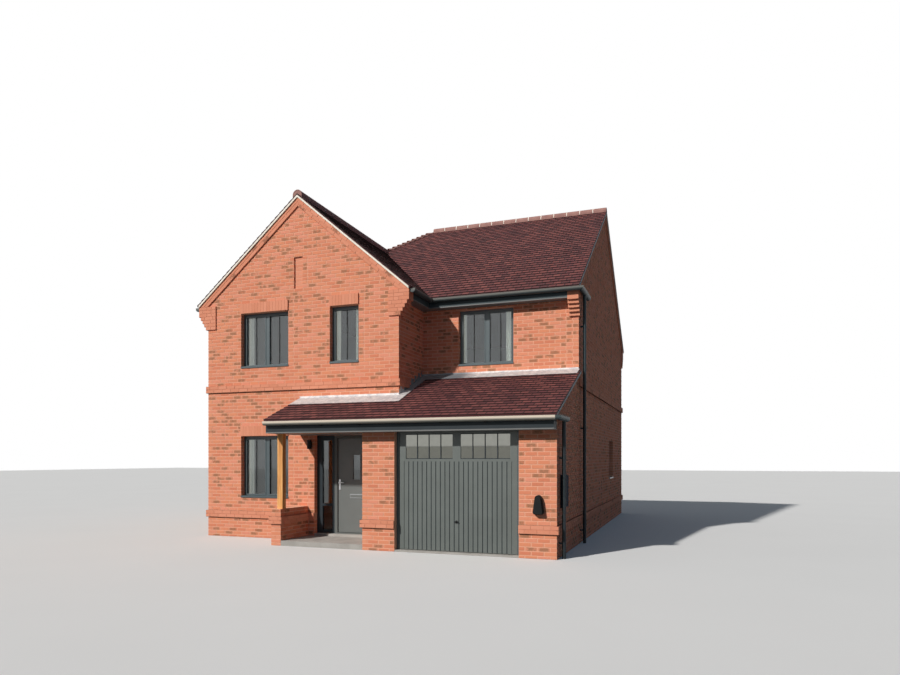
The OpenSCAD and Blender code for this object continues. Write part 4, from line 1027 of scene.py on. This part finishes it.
def lay_roofs(finish):
    """Tiles of each slope: rows from its eaves, cut where it meets another."""
    (c_main, s_main), (c_bay, s_bay), (c_lean, s_lean) = (
        (math.cos(p), math.sin(p)) for p in (MAIN_PITCH, BAY_PITCH, LEAN_PITCH)
    )
    y_eaves, x_left = Y_RECESS - EAVES_OUT, X_LEFT - EAVES_OUT
    x_bay, y_back = X_GABLE + EAVES_OUT, Y_REAR + EAVES_OUT
    meet, hip = (X_APEX, Y_MEET), (X_HIP, Y_RIDGE)
    main_rise = (Y_RIDGE - y_eaves) / c_main
    bay_rise, hip_rise = (X_APEX - x_left) / c_bay, (X_HIP - x_left) / c_bay
    up_left, up_bay = (c_bay, 0, s_bay), (-c_bay, 0, s_bay)
    valley, main_hip, back_hip = ((x_bay, y_eaves), meet), (meet, hip), (
        hip, (x_left, y_back)
    )
    main_ridge = ((x_left - 1.0, Y_RIDGE), hip)
    bay_ridge = ((X_APEX, 0.0), (X_APEX, 1.0))

    def lean_span(at):
        past = LEAN_EAVES_Y + at * c_lean > Y_GABLE
        return (X_GABLE - LEAN_LEFT if past else 0.0), X_VERGE - LEAN_LEFT

    slopes = (
        ("tiles_front", (X_APEX - LAP_OVER, y_eaves, EAVES_Z), (1, 0, 0),
         (0, c_main, s_main), X_VERGE - X_APEX + LAP_OVER, main_rise, None,
         (X_VERGE, Y_RIDGE - 1.0), (valley, main_hip, main_ridge)),
        ("tiles_rear", (X_VERGE, y_back, EAVES_Z), (-1, 0, 0), (0, -c_main, s_main),
         X_VERGE - x_left, main_rise, None,
         (X_VERGE - 1.0, y_back - 1.0), (back_hip, main_ridge)),
        ("tiles_left_rear", (x_left, y_back, EAVES_Z), (0, -1, 0), up_left,
         y_back - Y_MEET, hip_rise, None, (x_left, 0.5), (back_hip, main_hip)),
        ("tiles_left_bay", (x_left, Y_MEET, EAVES_Z), (0, -1, 0), up_left,
         Y_MEET - Y_VERGE, bay_rise, None, (x_left, -2.0), (bay_ridge,)),
        ("tiles_bay_right", (x_bay, Y_VERGE, EAVES_Z), (0, 1, 0), up_bay,
         Y_MEET - Y_VERGE + LAP_OVER, bay_rise, None,
         (X_GABLE, Y_GABLE), (valley, bay_ridge)),
        ("tiles_lean_to", (LEAN_LEFT, LEAN_EAVES_Y, LEAN_Z), (1, 0, 0),
         (0, c_lean, s_lean), X_VERGE - LEAN_LEFT,
         (Y_RECESS - LEAN_EAVES_Y) / c_lean, lean_span, None, ()),
    )
    for n, (name, *slope, inside, cuts) in enumerate(slopes):
        lay(
            name, tiles(*slope), "root", finish, 0.0, TILE_UNEVEN, 21 + n,
            [away_from(inside, *cut) for cut in cuts],
        )


# ---- Hip tiles, ridge joints and dressed lead ----


def add_shell(bm, spread, stations):
    """A curved shell through its stations, each (middle, across, out, inner, outer):
    a point, the two axes there, and the radii of the shell's two faces."""
    rings = []
    for middle, across, out, inner, outer in stations:
        points = arch(outer, spread) + arch(inner, spread)[::-1]
        rings.append([bm.verts.new(middle + across * a + out * b) for a, b in points])
    count = len(rings[0])
    for near, far in zip(rings, rings[1:]):
        for i in range(count):
            j = (i + 1) % count
            bm.faces.new((near[i], near[j], far[j], far[i]))
    half = count // 2
    for ring, turned in ((rings[0], True), (rings[-1], False)):
        for i in range(half - 1):
            quad = [ring[i], ring[i + 1], ring[count - 2 - i], ring[count - 1 - i]]
            bm.faces.new(quad[::-1] if turned else quad)


def arch(radius, spread, steps=8):
    """Points of an arch from its right foot over its crown to its left."""
    return [
        (radius * math.sin(a), radius * math.cos(a))
        for a in (spread * (1 - 2 * i / steps) for i in range(steps + 1))
    ]


BONNET_STEP, BONNET_L, BONNET_T = 0.17, 0.23, 0.013
BONNET_TAIL_R, BONNET_HEAD_R, BONNET_SUNK, BONNET_LIFT = 0.098, 0.07, 0.034, 0.022
BONNET_SPREAD = math.radians(68)


def build_hips(bm):
    """Bonnet tiles: each widens to its tail and laps the one below."""
    peak = Vector((X_HIP, Y_RIDGE, RIDGE_Z))
    feet = (
        (Vector((X_APEX, Y_MEET, BAY_RIDGE_Z)), 0.12),
        (Vector((X_LEFT - EAVES_OUT, Y_REAR + EAVES_OUT, EAVES_Z)), 0.0),
    )
    tilt = BONNET_LIFT / BONNET_STEP
    for foot, start in feet:
        run = peak - foot
        up = run.normalized()
        across = up.cross(Vector((0, 0, 1))).normalized()
        out = across.cross(up)
        at = start
        while at + BONNET_L < run.length - 0.02:
            stations = [
                (foot + up * (at + along) - out * (BONNET_SUNK + tilt * along),
                 across, out, radius - BONNET_T, radius)
                for along, radius in ((0.0, BONNET_TAIL_R), (BONNET_L, BONNET_HEAD_R))
            ]
            add_shell(bm, BONNET_SPREAD, stations)
            at += BONNET_STEP


RIDGE_R, RIDGE_RISE, RIDGE_TILE = 0.110, 0.086, 0.335
RIDGE_SPREAD = math.radians(100)


def build_ridge_joints(bm):
    """Rings of mortar between the ridge tiles."""
    rows = (
        (Vector((X_HIP, Y_RIDGE, RIDGE_Z)), Vector((1, 0, 0)), X_VERGE - X_HIP),
        (Vector((X_APEX, Y_VERGE, BAY_RIDGE_Z)), Vector((0, 1, 0)), Y_MEET - Y_VERGE),
    )
    upright = Vector((0, 0, 1))
    for start, along, length in rows:
        across = along.cross(upright)
        centre = start + Vector((0, 0, RIDGE_RISE - RIDGE_R))
        count = round(length / RIDGE_TILE)
        for i in range(1, count):
            stations = [
                (centre + along * (i * length / count + shift), across, upright,
                 RIDGE_R - 0.02, RIDGE_R + 0.0025)
                for shift in (-0.009, 0.009)
            ]
            add_shell(bm, RIDGE_SPREAD, stations)


def close_sheet(bm, top, under):
    """Joins two grids of points, [column][row], into a closed thin sheet."""
    across, up = len(top) - 1, len(top[0]) - 1
    for rows, flip in ((top, False), (under, True)):
        for i in range(across):
            for j in range(up):
                quad = (rows[i][j], rows[i + 1][j], rows[i + 1][j + 1], rows[i][j + 1])
                bm.faces.new(quad[::-1] if flip else quad)
    rim = (
        [(i, 0) for i in range(across + 1)]
        + [(across, j) for j in range(1, up + 1)]
        + [(i, up) for i in range(across - 1, -1, -1)]
        + [(0, j) for j in range(up - 1, 0, -1)]
    )
    for (i, j), (k, m) in zip(rim, rim[1:] + rim[:1]):
        bm.faces.new((under[i][j], under[k][m], top[k][m], top[i][j]))


def build_aprons(bm):
    """Lead dressed over the top tiles of the lean-to, in laps along the wall."""
    sag, thick, above, clear = 0.0015, 0.003, 0.0175, 0.006
    sheet_l, lap_l, lap_up = 1.2, 0.1, 0.0035
    tangent = math.tan(LEAN_PITCH)
    for x0, x1, wall, width, lapped in (
        (LEAN_LEFT + 0.004, X_GABLE + SIDE_LEAD, Y_GABLE - clear, APRON, 0.0),
        (X_GABLE + clear, X_GABLE + SIDE_LEAD, Y_RECESS - REAR_APRON + 0.1,
         Y_RECESS - REAR_APRON + 0.2 - Y_GABLE, 0.004),
        (X_GABLE + clear, X_RIGHT + 0.02, Y_RECESS - clear, REAR_APRON, 0.008),
    ):
        laps = math.ceil((x1 - x0) / sheet_l)
        for lap in range(laps):
            lapping = lap < laps - 1
            a = x0 + (x1 - x0) * lap / laps
            b = x0 + (x1 - x0) * (lap + 1) / laps + (lap_l if lapping else 0.0)
            across, up = max(2, round((b - a) / 0.04)), max(3, round(width / 0.03))
            sheets = []
            for lift in (thick, 0.0):
                rows = []
                for i in range(across + 1):
                    x = a + (b - a) * i / across
                    over = lap_up * max(0.0, 1 - (b - x) / lap_l) if lapping else 0.0
                    column = []
                    for j in range(up + 1):
                        y = wall - width + width * j / up
                        wave = math.sin(x * 41 + j * 1.3) * math.sin(x * 17 + lap)
                        z = LEAN_Z + (y - LEAN_EAVES_Y) * tangent + above
                        z += lift + lapped + over + sag * wave
                        column.append(bm.verts.new((x, y, z)))
                    rows.append(column)
                sheets.append(rows)
            close_sheet(bm, sheets[0], sheets[1])


VERGE_OUT, VERGE_BACK, VERGE_TOP, VERGE_LOW = 0.006, 0.015, 0.020, 0.056


def build_verges(bm):
    """Cement fillets that fill the verges from the tiles down to the brickwork."""
    def bar(start, end, outward, pitch):
        """A bar under a slope's edge, cut off upright at its two ends."""
        steep = math.cos(pitch)
        near, far = (
            [
                bm.verts.new(point + outward * out - Vector((0, 0, down / steep)))
                for out, down in (
                    (VERGE_OUT, VERGE_TOP), (VERGE_OUT, VERGE_LOW),
                    (-VERGE_BACK, VERGE_LOW), (-VERGE_BACK, VERGE_TOP),
                )
            ]
            for point in (start, end)
        )
        for i in range(4):
            j = (i + 1) % 4
            bm.faces.new((near[i], near[j], far[j], far[i]))
        bm.faces.new(near[::-1])
        bm.faces.new(far)

    over = EAVES_OUT - FASCIA_OUT
    foot = over * math.tan(BAY_PITCH)
    apex = Vector((X_APEX, Y_VERGE, BAY_RIDGE_Z))
    forward, right_hand = Vector((0, -1, 0)), Vector((1, 0, 0))
    for x in (X_LEFT - FASCIA_OUT, X_GABLE + FASCIA_OUT):
        bar(Vector((x, Y_VERGE, EAVES_Z + foot)), apex, forward, BAY_PITCH)
    foot = over * math.tan(MAIN_PITCH)
    for y in (Y_RECESS - FASCIA_OUT, Y_REAR + FASCIA_OUT):
        bar(Vector((X_VERGE, y, EAVES_Z + foot)), Vector((X_VERGE, Y_RIDGE, RIDGE_Z)),
            right_hand, MAIN_PITCH)
    foot = over * math.tan(LEAN_PITCH)
    for x, outward, y, top in (
        (X_VERGE, right_hand, Y_RECESS, LEAN_TOP_Z),
        (LEAN_LEFT, -right_hand, Y_GABLE, LEAN_BAY_Z),
    ):
        bar(Vector((x, Y_FRONT - FASCIA_OUT, LEAN_Z + foot)), Vector((x, y, top)),
            outward, LEAN_PITCH)
    bmesh.ops.recalc_face_normals(bm, faces=bm.faces[:])


def build_clips(bm):
    """The feet of the brackets that hold the lean-to's gutter to its fascia."""
    first, last, low = LEAN_LEFT + 0.02, X_RIGHT + 0.028, LEAN_GUTTER_TOP - 0.104
    pitch, half, out, into, tall = 0.8, 0.022, 0.03, 0.002, 0.034
    count = round((last - first) / pitch)
    for i in range(count):
        x = first + (i + 0.5) * (last - first) / count
        y = Y_FRONT - FASCIA_OUT
        add_box(
            bm, (x - half, y - out, low), (x + half, y + into, low + tall), 0.003
        )


# ---- Glazing bars, sashes and the garage door's bars ----


def add_box(bm, low, high, bevel=0.0):
    """A block between two corners, its edges eased."""
    middle = [(a + b) / 2 for a, b in zip(low, high)]
    size = [b - a for a, b in zip(low, high)]
    made = bmesh.ops.create_cube(
        bm, size=1.0, matrix=Matrix.Translation(middle) @ Matrix.Diagonal((*size, 1.0))
    )
    if bevel:
        edges = {e for v in made["verts"] for e in v.link_edges}
        bmesh.ops.bevel(
            bm, geom=list(edges), offset=bevel, segments=2, profile=0.5, affect="EDGES"
        )


def mesh_of(name, build):
    bm = bmesh.new()
    build(bm)
    mesh = bpy.data.meshes.new(name)
    bm.to_mesh(mesh)
    bm.free()
    return mesh


REVEAL, FRAME_W, FRAME_D, MULLION = 0.11, 0.06, 0.07, 0.09
SASH_W, SASH_OUT, BAR_W, BAR_OUT = 0.028, 0.008, 0.016, 0.006
GLASS_T = 0.024

# Each window: middle, width, wall face, sill, head, lights. The rear and side ones
# are given as if they faced the front, and turned into place.
FRONT_WINDOWS = (
    (WIDE_X, WIDE, Y_GABLE, SILLS["ground"], HEAD, 2),
    (WIDE_X, WIDE, Y_GABLE, SILLS["upper"], UPPER_HEAD, 2),
    (NARROW_X, NARROW, Y_GABLE, SILLS["upper"], UPPER_HEAD, 1),
    (RECESS_X, WIDE, Y_RECESS, SILLS["upper"], UPPER_HEAD, 2),
)
TURNED_WINDOWS = [
    ((-x, WIDE, -Y_REAR, SILLS[floor], head, 2), math.pi)
    for x in (WIDE_X, RECESS_X)
    for floor, head in (("ground", HEAD), ("upper", UPPER_HEAD))
] + [((SIDE_Y, SIDE, -X_RIGHT, SILLS["side"], HEAD, 1), math.pi / 2)]


def sash(bm, x0, x1, y, z0, z1, bar):
    """One opening light: a sash rebated in front of its frame, or the glazing bar up
    its middle. y is the frame's outer face."""
    over = 0.012
    front_y, back_y = y - SASH_OUT, y + FRAME_D / 2 - GLASS_T / 2 - 0.001
    x0, x1, z0, z1 = x0 - over, x1 + over, z0 - over, z1 + over
    if bar:
        x = (x0 + x1) / 2
        add_box(
            bm, (x - BAR_W / 2, back_y - BAR_OUT, z0 + SASH_W),
            (x + BAR_W / 2, back_y, z1 - SASH_W), 0.002,
        )
        return
    for a, b, c, d in (
        (x0, x0 + SASH_W, z0, z1), (x1 - SASH_W, x1, z0, z1),
        (x0 + SASH_W, x1 - SASH_W, z0, z0 + SASH_W),
        (x0 + SASH_W, x1 - SASH_W, z1 - SASH_W, z1),
    ):
        add_box(bm, (a, front_y, c), (b, back_y, d), 0.003)


def build_window(bm, x, width, y, sill, head, lights, bar):
    """Sashes of a window that faces -Y, between its frame's members."""
    light = (width - 2 * FRAME_W - (lights - 1) * MULLION) / lights
    for i in range(lights):
        a = x - width / 2 + FRAME_W + i * (light + MULLION)
        sash(bm, a, a + light, y + REVEAL, sill + FRAME_W, head - FRAME_W, bar)


def build_sashes(bm, bar):
    """The sashes of every window, or the bars of all of them."""
    for window in FRONT_WINDOWS:
        build_window(bm, *window, bar)
    for window, turn in TURNED_WINDOWS:
        old = set(bm.verts)
        build_window(bm, *window, bar)
        bmesh.ops.rotate(
            bm, verts=[v for v in bm.verts if v not in old],
            matrix=Matrix.Rotation(turn, 3, "Z"),
        )


def build_garage_bars(bm):
    """Upright bars over each glazed panel of the garage door, and its two rails."""
    low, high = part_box("garage_door_glass")
    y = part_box("garage_door")[0].y
    middle = (low.x + high.x) / 2
    stile, half, rail, sunk = 0.077, 0.009, 0.014, 0.004
    for a, b in ((low.x, middle - stile), (middle + stile, high.x)):
        for i in range(1, 4):
            x = a + (b - a) * i / 4
            add_box(bm, (x - half, y + sunk, low.z), (x + half, low.y, high.z), 0.002)
        for z0, z1 in ((low.z, low.z + rail), (high.z - rail, high.z)):
            add_box(bm, (a, y + sunk, z0), (b, low.y, z1), 0.002)


def build_groove_shade(bm):
    """Dark strips on the floor of each groove between the garage door's boards: painted
    shade in the grooves.
    """
    low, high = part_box("garage_door")
    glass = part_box("garage_door_glass")
    middle = (low.x + high.x) / 2
    half, outer, inner, clear = 0.0079, 0.0085, 0.0098, 0.001
    count = math.floor((glass[1].x - glass[0].x) / GROOVE_PITCH / 2)
    for i in range(-count, count):
        x = middle + (i + 0.5) * GROOVE_PITCH
        add_box(
            bm, (x - half, low.y + outer, low.z + clear),
            (x + half, low.y + inner, glass[0].z - GROOVE_PITCH / 2 - clear),
        )


GROOVE_PITCH = 0.09
LEAF_T, PLATE_OUT = 0.044, 0.014
FLAP_W, FLAP_H, FLAP_Z = 0.286, 0.062, 0.914


def build_letter_flap(bm):
    """A painted flap on the letter plate, whose steel shows round it as a rim."""
    low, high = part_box("front_door_glass")
    x, y = (low.x + high.x) / 2, (low.y + high.y) / 2 - LEAF_T / 2 - PLATE_OUT
    add_box(
        bm, (x - FLAP_W / 2, y - 0.002, FLAP_Z),
        (x + FLAP_W / 2, y + 0.001, FLAP_Z + FLAP_H), 0.0008,
    )


# ---- Curtains behind the front windows ----

POLE_R, POLE_OUT, POLE_UP, POLE_PAST = 0.012, 0.06, 0.07, 0.24
CURTAIN_PAST, CURTAIN_DROP, CURTAIN_CLEAR = 0.2, 0.12, 0.026
LEFT_IN, RIGHT_IN = 0.06, 0.26


def build_curtain(bm, x0, x1, y, top, bottom):
    """A hung curtain in folds that open a little towards its hem."""
    thick, pitch = 0.0015, 0.085
    count, rows = math.ceil((x1 - x0) / 0.007), 7
    sides = []
    for shift in (0.0, thick):
        side = []
        for i in range(count + 1):
            x = x0 + (x1 - x0) * i / count
            column = []
            for j in range(rows + 1):
                fall = j / rows
                wave = math.sin(math.tau * x / pitch)
                wave += 0.3 * math.sin(19 * x + 2 * fall)
                column.append(
                    bm.verts.new(
                        (x, y + shift + (0.016 + 0.008 * fall) * wave,
                         top + (bottom - top) * fall)
                    )
                )
            side.append(column)
        sides.append(side)
    close_sheet(bm, sides[0], sides[1])


def build_poles(bm):
    """A pole over each window, on two brackets from the wall."""
    for x, width, wall, _, head, _ in FRONT_WINDOWS:
        y, z = wall + WALL + POLE_OUT, head + POLE_UP
        half = width / 2 + POLE_PAST
        bmesh.ops.create_cone(
            bm, cap_ends=True, segments=12, radius1=POLE_R, radius2=POLE_R,
            depth=2 * half,
            matrix=Matrix.Translation((x, y, z)) @ Matrix.Rotation(math.pi / 2, 4, "Y"),
        )
        for side in (-1, 1):
            a = x + side * (half - 0.03)
            add_box(
                bm, (a - 0.01, wall + WALL, z - 0.01), (a + 0.01, y, z + 0.01), 0.002
            )


def hang_curtains(finish, pole_finish):
    poles = piece("curtain_poles", mesh_of("curtain_poles", build_poles), "root",
                  pole_finish)
    for n, (x, width, wall, sill, head, _) in enumerate(FRONT_WINDOWS):
        y = wall + WALL + POLE_OUT + POLE_R + CURTAIN_CLEAR
        top, hem = head + POLE_UP, sill - CURTAIN_DROP
        start, end = x - width / 2, x + width / 2
        for side, a, b in (
            ("left", start - CURTAIN_PAST, start + LEFT_IN),
            ("right", end - RIGHT_IN, end + CURTAIN_PAST),
        ):
            name = f"curtain_{n + 1}_{side}"
            mesh = mesh_of(name, lambda bm: build_curtain(bm, a, b, y, top, hem))
            cloth = piece(name, mesh, "root", finish)
            area = sum(p.area for p in mesh.polygons) / 2
            area / (top - hem)
            top - hem


# ---- Camera, light and ground ----


CAMERA_AT, CAMERA_TURN = (6.272, -16.759, 1.722), 20.03
LENS, SHIFT_UP = 26.88, 0.135
SUN_TOWARDS, SUN_ENERGY = (-0.36, -0.66, 0.513), 3.71
SKY, SKY_SIDE = 0.16, 0.145
SKY_SHADE = (0.3, 1.2, 2.4)


def seen_ray(g):
    """1 for what the camera sees, also in metal and through glass; else 0."""
    ray = g.add("ShaderNodeLightPath")
    seen = g.value(ray, "Is Camera Ray")
    for name in ("Is Glossy Ray", "Is Transmission Ray"):
        seen = seen.math("MAXIMUM", g.value(ray, name))
    return seen


def set_scene():
    camera = bpy.data.objects.new("camera", bpy.data.cameras.new("camera"))
    scene.collection.objects.link(camera)
    camera.location = CAMERA_AT
    camera.rotation_euler = (math.radians(90), 0.0, math.radians(CAMERA_TURN))
    camera.data.sensor_width = 36.0
    camera.data.lens = LENS
    camera.data.shift_y = SHIFT_UP
    camera.data.clip_end = 300.0
    scene.camera = camera

    sun = bpy.data.objects.new("sun", bpy.data.lights.new("sun", "SUN"))
    scene.collection.objects.link(sun)
    sun.data.energy = SUN_ENERGY
    sun.data.angle = math.radians(2)
    sun.data.color = (1.0, 0.97, 0.93)
    sun.rotation_euler = Vector(SUN_TOWARDS).to_track_quat("Z", "Y").to_euler()

    world = bpy.data.worlds.new("studio")
    scene.world = world
    world.use_nodes = True
    g = Graph(world.node_tree)
    seen = seen_ray(g)
    back = world.node_tree.nodes["Background"]
    place = g.add("ShaderNodeTexCoord").outputs["Generated"]
    side = g.value(g.add("ShaderNodeSeparateXYZ", None, {0: place}), 0)
    level = SKY - side.step(0.0, 1.0) * SKY_SIDE
    g.feed(back.inputs["Strength"], seen * (1.0 - level) + level)
    shaded = side.step(0.0, 0.6) * (1.0 - seen)
    g.feed(back.inputs["Color"], g.mix(shaded, (1.0, 1.0, 1.0), SKY_SHADE))

    ground = mesh_of(
        "ground",
        lambda bm: bmesh.ops.create_grid(bm, x_segments=1, y_segments=1, size=90),
    )
    floor = bpy.data.objects.new("ground", ground)
    scene.collection.objects.link(floor)
    floor.location.z = -0.002
    f = Finish("pale_floor", roughness=0.9, specular=0.1)
    cloud = f.noise(0.4, 2.0)
    pale = f.mix(cloud, rgb(224, 224, 223), rgb(228, 228, 227))
    ground.materials.append(f.paint(f.mix(seen_ray(f), rgb(99, 102, 103), pale)))
    scene.view_settings.view_transform = "Standard"


def dress_nodes(finishes, by_node):
    for name, obj in nodes.items():
        material = finishes[by_node[name]]
        obj.data.materials.clear()
        obj.data.materials.append(material)


BRICK_STOPS = [
    (0.0, rgb(210, 126, 96)),
    (0.25, rgb(221, 136, 104)),
    (0.5, rgb(224, 144, 108)),
    (0.75, rgb(228, 148, 122)),
    (1.0, rgb(214, 136, 104)),
]
BAND_STOPS = [
    (0.0, rgb(212, 136, 106)),
    (0.5, rgb(219, 144, 114)),
    (1.0, rgb(224, 150, 121)),
]
TILE_STOPS = [
    (0.0, rgb(72, 35, 37)),
    (0.35, rgb(100, 53, 52)),
    (0.7, rgb(124, 70, 66)),
    (1.0, rgb(86, 43, 46)),
]


def make_finishes():
    slate, gutter = rgb(66, 79, 83), rgb(56, 67, 69)
    return {
        "brick": brick_finish("house_brick", BRICK_STOPS, 0.2, rgb(150, 108, 80)),
        "band_brick": brick_finish("band_brick", BAND_STOPS, 0.05, rgb(140, 94, 72)),
        "mortar": mortar_finish("mortar_and_plaster"),
        "band_joints": slab_finish(
            "band_joints", rgb(216, 144, 115), rgb(204, 132, 104), 3.0, 300.0
        ),
        # Its last colour is the painted shade at the tiles' tails, heads and sides.
        "roof_tile": tile_finish("clay_tile", TILE_STOPS, rgb(30, 15, 17)),
        "ridge_tile": slab_finish(
            "ridge_clay", rgb(142, 102, 97), rgb(164, 124, 115), 6.0, 180.0
        ),
        "verge": slab_finish(
            "verge_cement", rgb(250, 245, 234), rgb(236, 228, 212), 12.0, 240.0
        ),
        "concrete": slab_finish(
            "floor_concrete", rgb(176, 172, 166), rgb(160, 156, 150), 3.0, 200.0
        ),
        "oak": oak_finish("post_oak"),
        "slate_frame": coated_finish("frame_slate", slate, 0.42, coat=0.2),
        "soffit": coated_finish("soffit_board", rgb(104, 105, 104), 0.6),
        # The cream colour is the painted highlight along the gutters' rims.
        "gutter": gutter_finish("gutter_plastic", gutter, rgb(226, 212, 194)),
        "lead": lead_finish("flashing_lead"),
        "door_grey": coated_finish("door_paint", rgb(99, 103, 101), 0.45, coat=0.1),
        "garage_grey": coated_finish("garage_paint", rgb(92, 98, 95), 0.45, coat=0.1),
        # Painted shade and light: one slate in a shaded copy below a metre over the
        # door head, where the lean-to's fascia is, and a lit copy above; the downpipes
        # and the garage door's bars and grooves share it.
        "fascia": coated_finish(
            "fascia_board", rgb(40, 47, 51), 0.5, level=0.2,
            beyond=(2, HEAD + 1.0, rgb(54, 66, 70)),
        ),
        # Painted shade: the frame is dark left of the sidelight's edge, for the shade
        # of the reveal and the porch post, and door grey beyond it.
        "door_frame": coated_finish(
            "door_frame_painted_shade", rgb(40, 48, 53), 0.5, level=0.2,
            beyond=(0, X_SIDELIGHT, rgb(99, 103, 101)),
        ),
        "door_metal": steel_finish("handle_steel"),
        "black_fitting": coated_finish(
            "fitting_black", rgb(20, 23, 24), 0.5, level=0.15
        ),
        "meter_box": coated_finish("meter_cover", rgb(18, 25, 38), 0.8, level=0.1),
        "window_glass": glass_finish(
            "glazing", 1.0, rgb(206, 218, 222), rgb(190, 202, 206), 0.01
        ),
        "obscured_glass": glass_finish(
            "obscured_glazing", 0.35, rgb(112, 113, 104), rgb(84, 86, 78), 0.25
        ),
        "cloth": cloth_finish("curtain_linen_painted_glow"),
    }


finishes = make_finishes()
slots = {
    s["node"]: s.get("material_slot") for s in frame["record"].get("subparts", [])
}
by_node = {
    name: ("mortar" if slots.get(name) in ("brick", "band_brick") else slots.get(name))
    for name in nodes
}
by_node["fascias"] = "fascia"
by_node["door_frame"] = "door_frame"
for name in ("window_heads", "kneelers", "brick_bands"):
    by_node[name] = "band_joints"
by_node["garage_door"] = "garage_grey"
by_node["garage_door_glass"] = "obscured_glass"
by_node["garage_door_handle"] = "black_fitting"
by_node["downpipes"] = "fascia"
set_scene()
dress_nodes(finishes, by_node)
for seed, (name, bricks) in enumerate(lay_walls().items()):
    lay(name, bricks, "root", finishes["brick"], ARRIS, BRICK_UNEVEN, seed + 1)
bands, beds = lay_bands()
lay("bricks_bands", bands, "root", finishes["band_brick"], BAND_ARRIS,
    BAND_UNEVEN, 11)
lay("band_beds", beds, "root", finishes["band_joints"], 0.0, 0.0, 12)
lay_roofs(finishes["roof_tile"])
for seed, (name, face, length, pitch, side) in enumerate((
    ("raking_bay_left", front, X_GABLE - X_LEFT, BAY_PITCH, 1),
    ("raking_bay_right", front, X_GABLE - X_LEFT, BAY_PITCH, -1),
    ("raking_main_front", right, Y_REAR - Y_RECESS, MAIN_PITCH, 1),
    ("raking_main_rear", right, Y_REAR - Y_RECESS, MAIN_PITCH, -1),
)):
    lay_raking(name, face, length, pitch, side, finishes["band_brick"], 31 + seed)
# Each piece: name, what builds it, body, slot, finish.
BUILT = (
    ("hip_tiles", build_hips, "root", "ridge_tile", "ridge_tile"),
    ("ridge_joints", build_ridge_joints, "root", "verge", "verge"),
    ("gutter_clips", build_clips, "root", "gutter", "black_fitting"),
    ("verge_fillets", build_verges, "root", "verge", "verge"),
    ("lead_aprons", build_aprons, "root", "lead", "lead"),
    ("window_sashes", lambda bm: build_sashes(bm, False), "root", "slate_frame",
     "slate_frame"),
    ("window_bars", lambda bm: build_sashes(bm, True), "root", "slate_frame",
     "black_fitting"),
    ("letter_flap", build_letter_flap, "front_door", "door_grey", "door_grey"),
    ("garage_door_bars", build_garage_bars, "garage_door", "door_grey", "fascia"),
    # The dark strips in the garage door's grooves are painted shade.
    ("garage_door_groove_shade", build_groove_shade, "garage_door", "door_grey", "fascia"),
)
for name, build, body, slot, finish in BUILT:
    piece(name, mesh_of(name, build), body, finishes[finish])
hang_curtains(finishes["cloth"], finishes["door_metal"])
